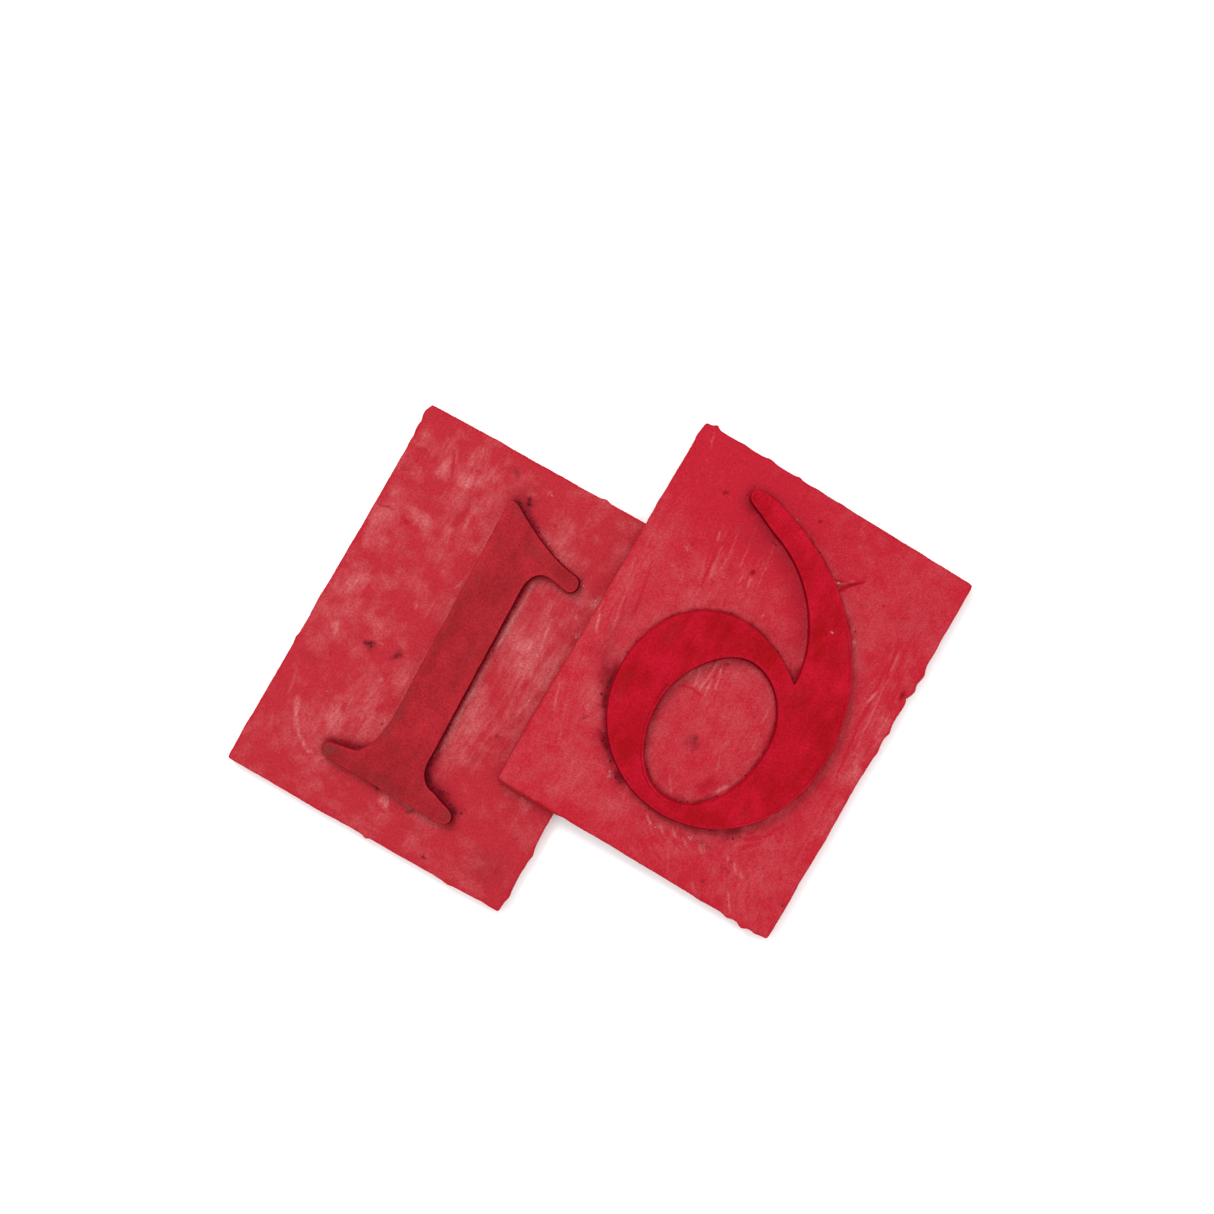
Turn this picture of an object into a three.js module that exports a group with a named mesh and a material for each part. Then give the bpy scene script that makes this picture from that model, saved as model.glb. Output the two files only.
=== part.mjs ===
// Two loose rubber stamp dies, a 1 and a 6, stacked as they lie on a table.
// Each die is a thin knife-cut plate with a raised serif numeral, mirrored left to right so it prints true.
// The 1 lies flat. The 6 rests on the 1's right edge and on the table, so it is tilted.
// Millimetres. +X across the dies, +Y towards the numerals' tops, +Z up from the table.
import * as THREE from "three";

// Driving dimensions.
const NUMERAL_HEIGHT = 50;
const PLATE_THICKNESS = 1.8;
const RELIEF_HEIGHT = 1.2;
const WALL_DRAFT = 0.16; // how much wider a numeral is at its foot than at its face, on each side
const BOND_LINE = 0.05; // between a numeral and its plate
const REST_GAP = 0.05; // between the upper die and what it rests on
const CORNER_CUT = 0.7; // the blunt tip of a plate's corner
const CURVE_STEPS = 12; // straight steps in each curve of an outline

// A plate is cut round its numeral with these margins. A skew says how far that side's cut runs off
// square from one end to the other, anticlockwise being positive.
const ONE_MARGINS = { left: 11.8, right: 12.9, top: 6.8, bottom: 7.6 };
const ONE_SKEWS = { left: 0.1, right: 0.8, top: 0.9, bottom: 0.35 };
const SIX_MARGINS = { left: 7.5, right: 6.1, top: 4.45, bottom: 8.2 };
const SIX_SKEWS = { left: -0.1, right: 0, top: -0.87, bottom: -0.91 };

// How the upper die lies on the lower one: the width that it covers, and how much further up it lies.
const OVERLAP = 10.05;
const RISE = 17.65;

// The numerals are drawn at this height and scaled to NUMERAL_HEIGHT.
const DRAWN_HEIGHT = 50;

// The 1, drawn round its plate's middle.
const ONE = {
  foot: -23.7,
  top: 24.5,
  stemLeft: -4.6,
  stemRight: 3.3,
  leftLean: -1.3, // how far the stem's left side stands to the right at its top
  rightLean: -1.0, // and its right side
  serifLeft: 7.3, // how far a foot serif runs out past the stem
  serifRight: 7.5,
  serifEnd: 2.4, // height of a serif's round end
  serifSlope: 1.1, // how much a serif's upper side climbs towards the stem
  bracketRun: 3.0, // width and height of the curve between serif and stem
  leftBracketRise: 7.0,
  rightBracketRise: 3.6,
  roundEnd: 1.1, // how far a serif's or the flag's round end bulges
  flagReach: 7.4, // from the stem's right side to the flag's tip
  flagDrop: 5.3, // from the numeral's top down to the upper side of the flag's tip
  flagTip: 2.8, // height of the flag's tip
  flagArchRun: 2.7, // width and height of the arch under the flag
  flagArchRise: 3.4,
  flagSlope: 0.7, // how much the flag's underside falls from the arch to the tip
  beakSag: 1.7, // from the stem's right side to where the flag's upper side sags most
  beakBlunt: 0.8, // how much of the sharp top is rounded off
};

// The 6, drawn round its plate's middle: the outer oval, the curved stem and the counter in the bowl.
const SIX = {
  left: -16.5,
  right: 17.9,
  bottom: -23.1,
  widestLeft: -6.6, // height of the outer oval's leftmost point
  widestRight: -3.2,
  lowest: 0.1, // how far across the outer oval's lowest point is
  bowlTop: new THREE.Vector2(-3.7, 8.4),
  crotch: new THREE.Vector2(7.9, 3.6), // where the bowl meets the stem
  neck: new THREE.Vector2(-6.7, 22.4), // where the stem's inner side runs straight to its tip
  brow: new THREE.Vector2(-7.4, 26.4), // the same on its outer side
  tip: new THREE.Vector2(-11.4, 25.7), // centre of the stem's round tip
  tipRadius: 1.15,
};
// How far each curve of the 6 keeps the direction that it starts or ends in.
const SIX_HANDLES = {
  back: new THREE.Vector2(0, 8.7),
  brow: new THREE.Vector2(20.3, -5.8),
  tip: new THREE.Vector2(2.2, 0.1),
  neck: new THREE.Vector2(8.9, -2.8),
  stemAtCrotch: new THREE.Vector2(0, 7.9),
  bowlAtCrotch: new THREE.Vector2(-2.4, 2.7),
  bowlTop: new THREE.Vector2(4.2, 0),
};
const COUNTER = {
  left: -8.9,
  right: 9.3,
  top: 3.8,
  bottom: -20.7,
  widestLeft: -8.3,
  widestRight: -7.0,
  highest: 0.3,
  lowest: -0.2,
};

// A handle's share of its curve's run: round, fuller than round, and flatter than round.
const ROUND = 0.552;
const FULL = 0.58;
const FLAT = 0.46;
const SEMICIRCLE = 4 / 3; // handle length over bulge in a round end
const TIP_ARC = [Math.PI / 2, Math.PI * 1.36];
const SAME_POINT = 1e-4;

function curveTo(path, handleOut, handleIn, end) {
  path.bezierCurveTo(handleOut.x, handleOut.y, handleIn.x, handleIn.y, end.x, end.y);
}

// A quarter turn to a point, which leaves along one axis and arrives along the other.
function quarterTurn(path, x, y, leavesAlong, fullness = ROUND) {
  const from = path.currentPoint.clone();
  const run = (x - from.x) * fullness;
  const rise = (y - from.y) * fullness;
  if (leavesAlong === "x") path.bezierCurveTo(from.x + run, from.y, x, y - rise, x, y);
  else path.bezierCurveTo(from.x, from.y + rise, x - run, y, x, y);
}

// A round end that bulges sideways on its way up or down to a point.
function roundEnd(path, x, y, bulge) {
  const from = path.currentPoint.clone();
  const handle = bulge * SEMICIRCLE;
  path.bezierCurveTo(from.x + handle, from.y, x + handle, y, x, y);
}

function oneOutline() {
  const { foot, top, stemLeft, stemRight, serifSlope, bracketRun } = ONE;
  const leftEnd = stemLeft - ONE.serifLeft + ONE.roundEnd;
  const rightEnd = stemRight + ONE.serifRight - ONE.roundEnd;
  const serifTop = foot + ONE.serifEnd;
  const bracketFoot = serifTop + serifSlope;
  const stemTopLeft = stemLeft + ONE.leftLean;
  const stemTopRight = stemRight + ONE.rightLean;
  const flagEnd = stemTopRight + ONE.flagReach - ONE.roundEnd;
  const flagTop = top - ONE.flagDrop;
  const flagBottom = flagTop - ONE.flagTip;
  const flagArch = flagBottom + ONE.flagSlope;
  const path = new THREE.Path();
  path.moveTo(leftEnd, foot);
  path.lineTo(rightEnd, foot);
  roundEnd(path, rightEnd, serifTop, ONE.roundEnd);
  path.lineTo(stemRight + bracketRun, bracketFoot);
  quarterTurn(path, stemRight, bracketFoot + ONE.rightBracketRise, "x");
  path.lineTo(stemTopRight, flagArch - ONE.flagArchRise);
  quarterTurn(path, stemTopRight + ONE.flagArchRun, flagArch, "y");
  path.lineTo(flagEnd, flagBottom);
  roundEnd(path, flagEnd, flagTop, ONE.roundEnd);
  path.quadraticCurveTo(stemTopRight + ONE.beakSag, flagTop, stemTopLeft + ONE.beakBlunt, top);
  path.quadraticCurveTo(stemTopLeft, top, stemTopLeft, top - ONE.beakBlunt);
  path.lineTo(stemLeft, bracketFoot + ONE.leftBracketRise);
  quarterTurn(path, stemLeft - bracketRun, serifTop + serifSlope / 2, "y");
  path.lineTo(leftEnd, serifTop);
  roundEnd(path, leftEnd, foot, -ONE.roundEnd);
  return path;
}

function sixOutline() {
  const { bowlTop, crotch, neck, brow, tip, tipRadius } = SIX;
  const handles = SIX_HANDLES;
  const start = new THREE.Vector2(SIX.right, SIX.widestRight);
  const tipTop = new THREE.Vector2(tip.x, tip.y + tipRadius);
  const tipHandle = tipTop.clone().add(handles.tip);
  const from = (point, handle) => point.clone().add(handle);
  const path = new THREE.Path();
  path.moveTo(start.x, start.y);
  curveTo(path, from(start, handles.back), from(brow, handles.brow), brow);
  path.quadraticCurveTo(tipHandle.x, tipHandle.y, tipTop.x, tipTop.y);
  path.absarc(tip.x, tip.y, tipRadius, ...TIP_ARC);
  path.lineTo(neck.x, neck.y);
  curveTo(path, from(neck, handles.neck), from(crotch, handles.stemAtCrotch), crotch);
  curveTo(path, from(crotch, handles.bowlAtCrotch), from(bowlTop, handles.bowlTop), bowlTop);
  quarterTurn(path, SIX.left, SIX.widestLeft, "x", FULL);
  quarterTurn(path, SIX.lowest, SIX.bottom, "y");
  quarterTurn(path, SIX.right, SIX.widestRight, "x", FULL);
  return path;
}

function sixCounter() {
  const path = new THREE.Path();
  path.moveTo(COUNTER.left, COUNTER.widestLeft);
  quarterTurn(path, COUNTER.highest, COUNTER.top, "y", FLAT);
  quarterTurn(path, COUNTER.right, COUNTER.widestRight, "x");
  quarterTurn(path, COUNTER.lowest, COUNTER.bottom, "y");
  quarterTurn(path, COUNTER.left, COUNTER.widestLeft, "x", FULL);
  return path;
}

// The rectangle that a plate is cut to, before its cuts run off square.
function plateRectangle(numeral, margins) {
  const { min, max } = new THREE.Box2().setFromPoints(numeral);
  return new THREE.Box2(
    new THREE.Vector2(min.x - margins.left, min.y - margins.bottom),
    new THREE.Vector2(max.x + margins.right, max.y + margins.top),
  );
}

// A plate's corners, where its four skewed cuts meet, anticlockwise from the lower left one.
function plateCorners({ min, max }, skews) {
  const halfSkew = (side) => skews[side] / 2;
  return [
    new THREE.Vector2(min.x + halfSkew("left"), min.y - halfSkew("bottom")),
    new THREE.Vector2(max.x + halfSkew("right"), min.y + halfSkew("bottom")),
    new THREE.Vector2(max.x - halfSkew("right"), max.y + halfSkew("top")),
    new THREE.Vector2(min.x - halfSkew("left"), max.y - halfSkew("top")),
  ];
}

// The same four corners with their tips cut off blunt.
function plateOutline(corners) {
  const points = [];
  corners.forEach((tip, i) => {
    const before = corners[(i + 3) % 4];
    const after = corners[(i + 1) % 4];
    points.push(tip.clone().add(before.clone().sub(tip).setLength(CORNER_CUT)));
    points.push(tip.clone().add(after.clone().sub(tip).setLength(CORNER_CUT)));
  });
  return points;
}

function slab(outline, height, material, name) {
  const shape = new THREE.Shape(outline);
  const geometry = new THREE.ExtrudeGeometry(shape, { depth: height, bevelEnabled: false });
  const mesh = new THREE.Mesh(geometry, material);
  mesh.name = name;
  return mesh;
}

// A numeral's outline as distinct points, anticlockwise for an outer one and clockwise for a hole.
function loopOf(path, isHole) {
  const scale = NUMERAL_HEIGHT / DRAWN_HEIGHT;
  const points = path.getPoints(CURVE_STEPS).map((p) => p.clone().multiplyScalar(scale));
  const distinct = points.filter((p, i) => p.distanceTo(points[(i + 1) % points.length]) > SAME_POINT);
  if (THREE.ShapeUtils.isClockWise(distinct) !== isHole) distinct.reverse();
  return distinct;
}

// Each point of a loop moved out of the material, square to the edges on both sides of it.
function movedOut(loop, distance) {
  return loop.map((p, i) => {
    const before = loop[(i + loop.length - 1) % loop.length];
    const after = loop[(i + 1) % loop.length];
    const normalIn = new THREE.Vector2(p.y - before.y, before.x - p.x).normalize();
    const normalOut = new THREE.Vector2(after.y - p.y, p.x - after.x).normalize();
    const mitre = normalIn.clone().add(normalOut);
    return p.clone().addScaledVector(mitre, (2 * distance) / mitre.lengthSq());
  });
}

// A raised numeral: a flat face on top, drafted walls, and a foot as wide as the draft makes it.
function relief(faceLoops, material, name) {
  const footLoops = faceLoops.map((loop) => movedOut(loop, WALL_DRAFT));
  const positions = [];
  const put = (p, z) => positions.push(p.x, p.y, z);
  faceLoops.forEach((face, n) => {
    const foot = footLoops[n];
    face.forEach((p, i) => {
      const next = (i + 1) % face.length;
      put(foot[i], 0);
      put(foot[next], 0);
      put(face[next], RELIEF_HEIGHT);
      put(foot[i], 0);
      put(face[next], RELIEF_HEIGHT);
      put(p, RELIEF_HEIGHT);
    });
  });
  const facePoints = faceLoops.flat();
  const footPoints = footLoops.flat();
  const triangles = THREE.ShapeUtils.triangulateShape(faceLoops[0], faceLoops.slice(1));
  triangles.forEach(([a, b, c]) => {
    [a, b, c].forEach((i) => put(facePoints[i], RELIEF_HEIGHT));
    [a, c, b].forEach((i) => put(footPoints[i], 0));
  });
  const geometry = new THREE.BufferGeometry();
  geometry.setAttribute("position", new THREE.Float32BufferAttribute(positions, 3));
  geometry.computeVertexNormals();
  const mesh = new THREE.Mesh(geometry, material);
  mesh.name = name;
  return mesh;
}

function rubber(color) {
  return new THREE.MeshStandardMaterial({ color, roughness: 0.7, metalness: 0 });
}

// One die: its plate with the underside at height 0, and its numeral on top.
function die({ corners, loops }, colors, name) {
  const group = new THREE.Group();
  const numeral = relief(loops, rubber(colors.numeral), name + "_numeral");
  numeral.position.z = PLATE_THICKNESS + BOND_LINE;
  group.add(slab(plateOutline(corners), PLATE_THICKNESS, rubber(colors.plate), name + "_plate"), numeral);
  return group;
}

function layout(loops, margins, skews) {
  const rectangle = plateRectangle(loops[0], margins);
  return { loops, rectangle, corners: plateCorners(rectangle, skews) };
}

const one = layout([loopOf(oneOutline(), false)], ONE_MARGINS, ONE_SKEWS);
const six = layout([loopOf(sixOutline(), false), loopOf(sixCounter(), true)], SIX_MARGINS, SIX_SKEWS);
const oneDie = die(one, { plate: "#c44046", numeral: "#ac272f" }, "one");
const sixDie = die(six, { plate: "#c3303c", numeral: "#b91025" }, "six");

// The upper die leans from the lower die's right edge down to the table, and its own right edge is lowest.
const rightmost = (corners) => Math.max(...corners.map((corner) => corner.x));
const middleOf = (rectangle) => rectangle.getCenter(new THREE.Vector2());
const across = one.rectangle.max.x - OVERLAP - six.rectangle.min.x;
const up = middleOf(one.rectangle).y + RISE - middleOf(six.rectangle).y;
const leanLength = across + rightmost(six.corners) - rightmost(one.corners);
const tilt = Math.atan((PLATE_THICKNESS + REST_GAP) / leanLength);
sixDie.rotation.y = tilt;
sixDie.position.set(across, up, rightmost(six.corners) * Math.sin(tilt));

const stack = new THREE.Group();
stack.add(oneDie, sixDie);

// The origin goes under the middle of the whole stack.
const extent = new THREE.Box3().setFromObject(stack, true);
const middle = extent.getCenter(new THREE.Vector3());
stack.position.set(-middle.x, -middle.y, -extent.min.z);

const part = new THREE.Group();
part.add(stack);
export default part;
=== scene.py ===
"""Two hand-cut rubber stamp dies, a mirrored 1 and a mirrored 6, one leaning on the other.

Each die is a worn plate with a raised numeral. Marks on a die are placed in millimetres in the die's own
frame: the origin is the middle of its plate's top, x runs across it and y towards the numeral's top.
"""
import math

import bpy
import numpy as np
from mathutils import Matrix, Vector, geometry


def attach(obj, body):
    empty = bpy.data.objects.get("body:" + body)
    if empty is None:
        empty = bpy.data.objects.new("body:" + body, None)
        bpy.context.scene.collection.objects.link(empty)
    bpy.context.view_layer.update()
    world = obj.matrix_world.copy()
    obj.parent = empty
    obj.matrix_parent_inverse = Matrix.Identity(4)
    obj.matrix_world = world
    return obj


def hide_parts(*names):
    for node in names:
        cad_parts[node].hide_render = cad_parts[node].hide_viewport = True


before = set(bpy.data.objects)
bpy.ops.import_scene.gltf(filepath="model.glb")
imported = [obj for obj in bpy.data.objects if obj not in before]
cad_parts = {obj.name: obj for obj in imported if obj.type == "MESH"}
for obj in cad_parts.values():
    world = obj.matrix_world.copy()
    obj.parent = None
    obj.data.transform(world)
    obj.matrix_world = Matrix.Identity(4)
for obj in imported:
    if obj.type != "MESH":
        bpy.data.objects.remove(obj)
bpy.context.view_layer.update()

MM = 0.001
CELLS = 128  # cells across one sheet of noise, which then repeats

# Meshes, in millimetres.
GRID_STEP = 0.21  # between a plate's corners
WALL_ROWS = 5  # rows of faces down a plate's cut side
LOOP_STEP = 0.24  # along a numeral's outline
FACE_STEP = 0.36  # across a numeral's printing face
CROTCH_BLUR = 0.3  # how far an outline's sharpest corners are rounded

# A plate's cut edges, in millimetres.
CORNER_ROUND = 0.35
CORNER_REACH = 3
EDGE_REACH = 1.6  # how far in from a cut edge the plate's grid follows its bumps
SLOW_WANDER = 0.11
FINE_WANDER = 0.07
WALL_RIDGES = 0.09
WALL_LEAN = 0.1
TORN_LIP = 0.22  # how wide the cut's torn lip shows on the top

# The floor of a plate, in millimetres up or down at a mark of full strength.
LUMP_DEPTH = 0.07
GRAIN_DEPTH = 0.025
PIT_DEPTH = 0.12
SCRATCH_DEPTH = 0.03
BRUSH_HEIGHT = 0.1
LIP_DEPTH = 0.05
LIP_REACH = 0.25
NICK_DEPTH = 0.15
FILLET_HEIGHT = 0.14  # where the floor rises to a numeral's foot
FILLET_REACH = 0.22
HOLLOW_DEPTH = 0.05  # how far the underside is hollow
FOOT_CLEAR = 0.25  # width beside a numeral in which its dirt and painted shade are at full strength
FOOT_HALO = 1.1  # width of the paler rubber round a numeral

# A numeral's walls and face, in millimetres.
WALL_DRAFT = 0.16
WALL_UNEVEN = 0.11
FOOT_SINK = 0.2
FOOT_FLARE = 0.1
SHOULDER = 0.13
SHOULDER_STEPS = 4
FACE_INSET = 0.3
FACE_WEAR = 0.05
FACE_GRAIN = 0.015
LINE_INSET = 0.46
LINE_REACH = 0.14
RIM_REACH = 0.6


# ---------------------------------------------------------------- noise and masks


def lattice_noise(x, y, size, seed):
    """Smooth noise from 0 to 1 whose lumps are about `size` across."""
    cells = np.random.default_rng(seed).random((CELLS, CELLS))
    gx, gy = x / size + 61.3, y / size + 47.7
    ix, iy = np.floor(gx).astype(int), np.floor(gy).astype(int)
    fx, fy = gx - ix, gy - iy
    fx, fy = fx * fx * (3 - 2 * fx), fy * fy * (3 - 2 * fy)
    low, high = (
        cells[ix % CELLS, (iy + j) % CELLS] * (1 - fx) + cells[(ix + 1) % CELLS, (iy + j) % CELLS] * fx
        for j in (0, 1)
    )
    return low * (1 - fy) + high * fy


def rough_noise(x, y, size, seed, octaves=3):
    """Several sizes of noise together, from 0 to 1."""
    total, weight = 0.0, 0.0
    for n in range(octaves):
        share = 0.5**n
        total = total + share * lattice_noise(x, y, size * share, seed + n)
        weight += share
    return total / weight


def warped(x, y, seed, amount=0.9, size=1.6):
    """The same places pushed about a little, so that soft marks get ragged outlines."""
    dx = rough_noise(x, y, size, seed) - 0.5
    dy = rough_noise(x, y, size, seed + 9) - 0.5
    return x + 2 * amount * dx, y + 2 * amount * dy


def turned(x, y, cx, cy, degrees):
    """The places as seen from a middle, along and across an axis turned anticlockwise from x."""
    c, s = math.cos(math.radians(degrees)), math.sin(math.radians(degrees))
    return c * (x - cx) + s * (y - cy), c * (y - cy) - s * (x - cx)


def patches(x, y, marks):
    """The sum of soft oval marks, each (x, y, half width, half height, turn in degrees, strength)."""
    total = np.zeros_like(x)
    for cx, cy, rx, ry, turn, strength in marks:
        u, v = turned(x, y, cx, cy, turn)
        u, v = u / rx, v / ry
        total += strength * np.exp(-0.9 * (u * u + v * v) ** 1.3)
    return total


def segment_distance(x, y, x0, y0, x1, y1):
    """Distance from each place to a line, and how far along it the nearest point lies, from 0 to 1."""
    dx, dy = x1 - x0, y1 - y0
    t = np.clip(((x - x0) * dx + (y - y0) * dy) / (dx * dx + dy * dy), 0, 1)
    return np.hypot(x - x0 - t * dx, y - y0 - t * dy), t


def strokes(x, y, marks):
    """The sum of tapering lines, each (x0, y0, x1, y1, half width, strength)."""
    total = np.zeros_like(x)
    for x0, y0, x1, y1, width, strength in marks:
        near = np.abs(x - (x0 + x1) / 2) < abs(x1 - x0) / 2 + 1
        near &= np.abs(y - (y0 + y1) / 2) < abs(y1 - y0) / 2 + 1
        d, t = segment_distance(x[near], y[near], x0, y0, x1, y1)
        taper = 0.35 + 0.65 * np.sqrt(np.clip(4 * t * (1 - t), 0, 1))
        total[near] += strength * np.exp(-((d / (width * taper)) ** 2))
    return total


def brushed(x, y, marks, seed):
    """Patches of fine parallel scratches, each (x, y, half width, half length, turn in degrees, strength)."""
    total = np.zeros_like(x)
    for cx, cy, rx, ry, turn, strength in marks:
        u, v = turned(x, y, cx, cy, turn)
        lines = rough_noise(u / 0.3, v / 2.6 + 0.15 * u, 1.0, seed, 2) - 0.45
        total += strength * lines * np.exp(-(((u / rx) ** 2 + (v / ry) ** 2) ** 1.5))
    return total


def foot_marks(x, y, distance, marks):
    """Dirt and painted shade along a numeral's foot, each mark (x, y, reach along the foot, band width,
    strength).
    """
    total = np.zeros_like(x)
    for cx, cy, reach, width, strength in marks:
        local = np.exp(-(((x - cx) ** 2 + (y - cy) ** 2) / (1.4 * reach) ** 2) ** 1.5)
        total = np.maximum(total, strength * local * np.exp(-((distance / width) ** 1.5)))
    return total


# ---------------------------------------------------------------- the dies, as the frame gives them


def merged_polygons(node):
    """A CAD node's corners, merged, and its faces as corner numbers with their normals."""
    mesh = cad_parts[node].data
    places = np.round(np.array([v.co for v in mesh.vertices]) / MM, 3)
    corners, index = np.unique(places, axis=0, return_inverse=True)
    index = index.reshape(-1)
    faces = [[int(index[v]) for v in p.vertices] for p in mesh.polygons]
    normals = [np.array(p.normal) for p in mesh.polygons]
    return corners, faces, normals


def rim_loops(faces):
    """The closed loops of corners round a set of faces, in the faces' own direction."""
    edges = {}
    for face in faces:
        for a, b in zip(face, face[1:] + face[:1]):
            edges[a, b] = True
    follow = {a: b for a, b in edges if (b, a) not in edges}
    loops = []
    while follow:
        start = next(iter(follow))
        loop = [start]
        while (after := follow.pop(loop[-1])) != start:
            loop.append(after)
        loops.append(loop)
    return loops


class Die:
    """Where one die lies, and its outlines in its own frame."""

    def __init__(self, name, body):
        self.name, self.body = name, body
        corners, faces, normals = merged_polygons(name + "_plate")
        up = next(n for n in normals if n[2] > 0.9)
        self.up = up / np.linalg.norm(up)
        self.across = np.array([self.up[2], 0, -self.up[0]])
        self.along = np.array([0.0, 1.0, 0.0])
        axes = np.array([self.across, self.along, self.up])
        low, high = (corners @ axes.T).min(0), (corners @ axes.T).max(0)
        self.thickness = high[2] - low[2]
        self.origin = np.array([*(low + high)[:2] / 2, high[2]]) @ axes
        self.axes = axes
        top = [f for f, n in zip(faces, normals) if n @ self.up > 0.99]
        self.outline = self.local(corners[rim_loops(top)[0]])[:, :2]
        corners, faces, normals = merged_polygons(name + "_numeral")
        top = [f for f, n in zip(faces, normals) if n @ self.up > 0.99]
        loops = [self.local(corners[loop]) for loop in rim_loops(top)]
        self.relief = loops[0][0, 2]
        self.loops = [even_loop(loop[:, :2]) for loop in loops]

    def local(self, places):
        return (places - self.origin) @ self.axes.T

    def world(self, places):
        """Places in the die's frame, in millimetres, as places in the row frame in metres."""
        out = (self.origin + places @ self.axes) * MM
        out[:, 2] = np.maximum(out[:, 2], 0)
        return out

    def foot_distance(self, x, y):
        """Distance from each place to the numeral's outline."""
        best = np.full(x.shape, 1e9)
        for loop in self.loops:
            for (x0, y0), (x1, y1) in zip(loop, np.roll(loop, -1, 0)):
                best = np.minimum(best, segment_distance(x, y, x0, y0, x1, y1)[0])
        return best


def even_loop(loop, step=LOOP_STEP, blur=CROTCH_BLUR):
    """A closed outline with points a fixed step apart and its sharpest corners slightly rounded."""
    closed = np.vstack([loop, loop[:1]])
    run = np.concatenate([[0], np.cumsum(np.hypot(*np.diff(closed, axis=0).T))])
    count = int(run[-1] / step)
    at = np.arange(count) * run[-1] / count
    points = np.column_stack([np.interp(at, run, closed[:, k]) for k in (0, 1)])
    for _ in range(int((blur / step) ** 2 * 6)):
        points = 0.5 * points + 0.25 * (np.roll(points, 1, 0) + np.roll(points, -1, 0))
    return points


def outward(loop):
    """Unit vectors square to an outline, out of its material."""
    ahead = np.roll(loop, -1, 0) - np.roll(loop, 1, 0)
    ahead /= np.linalg.norm(ahead, axis=1)[:, None]
    return np.column_stack([ahead[:, 1], -ahead[:, 0]])


# ---------------------------------------------------------------- where each die is marked

# Cut edges: (side, place along it, how far it stands out, half length of the bump).
NUBS = {"one": [
    ("left", 29.2, 0.35, 0.9), ("left", 26.6, 0.15, 0.8), ("left", 25.4, -0.1, 0.5),
    ("left", -10.4, 0.2, 0.6), ("left", -3, 0.1, 2), ("left", -26, 0.1, 1.2), ("left", 10, -0.08, 3),
    ("bottom", 0.6, 0.3, 0.5), ("bottom", 15, 0.15, 0.7), ("bottom", -8, 0.08, 2.5),
    ("bottom", 21, -0.15, 1.5), ("right", -21.3, 0.25, 0.8), ("right", -25, -0.1, 1.4),
    ("right", -28.6, 0.2, 0.7), ("right", -16.5, -0.12, 1.5), ("top", 6.5, 0.25, 0.7),
    ("top", -12, 0.08, 1.5),
], "six": [
    ("top", -22.1, 0.45, 0.5), ("top", -12.4, 0.25, 0.9), ("top", -17, 0.12, 0.8), ("top", -7.3, 0.2, 0.5),
    ("top", -3.8, 0.1, 1), ("top", 0.3, 0.1, 0.8), ("right", 15.2, 0.35, 1), ("right", 12.4, 0.3, 0.6),
    ("right", 10.8, -0.35, 0.5), ("right", 5, 0.3, 0.8), ("right", 1.5, 0.2, 1), ("right", 19, 0.1, 1.4),
    ("right", -5.5, -0.12, 3), ("right", -14, 0.08, 1.2), ("right", -22, -0.1, 1.5),
    ("bottom", 19.6, 0.5, 0.7), ("bottom", 16.8, 0.25, 0.7), ("bottom", 21.8, 0.2, 0.7),
    ("bottom", 12, 0.12, 1.5), ("bottom", -10, 0.06, 3), ("left", 18, 0.1, 1.2), ("left", -20, 0.08, 1.4),
    ("left", 29.5, 0.15, 0.8),
]}

# Cuts that slope outwards below: (side, place along it, how far the foot stands out, half length).
SLOPES = {"one": [
    ("left", 27, 0.3, 5), ("right", -25, 0.2, 5), ("bottom", 10, 0.15, 12), ("top", -10, 0.1, 15),
], "six": [
    ("bottom", -19, 0.75, 6), ("right", 12, 0.5, 5), ("right", -3, 0.35, 8), ("left", -20, 0.2, 9),
]}

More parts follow.
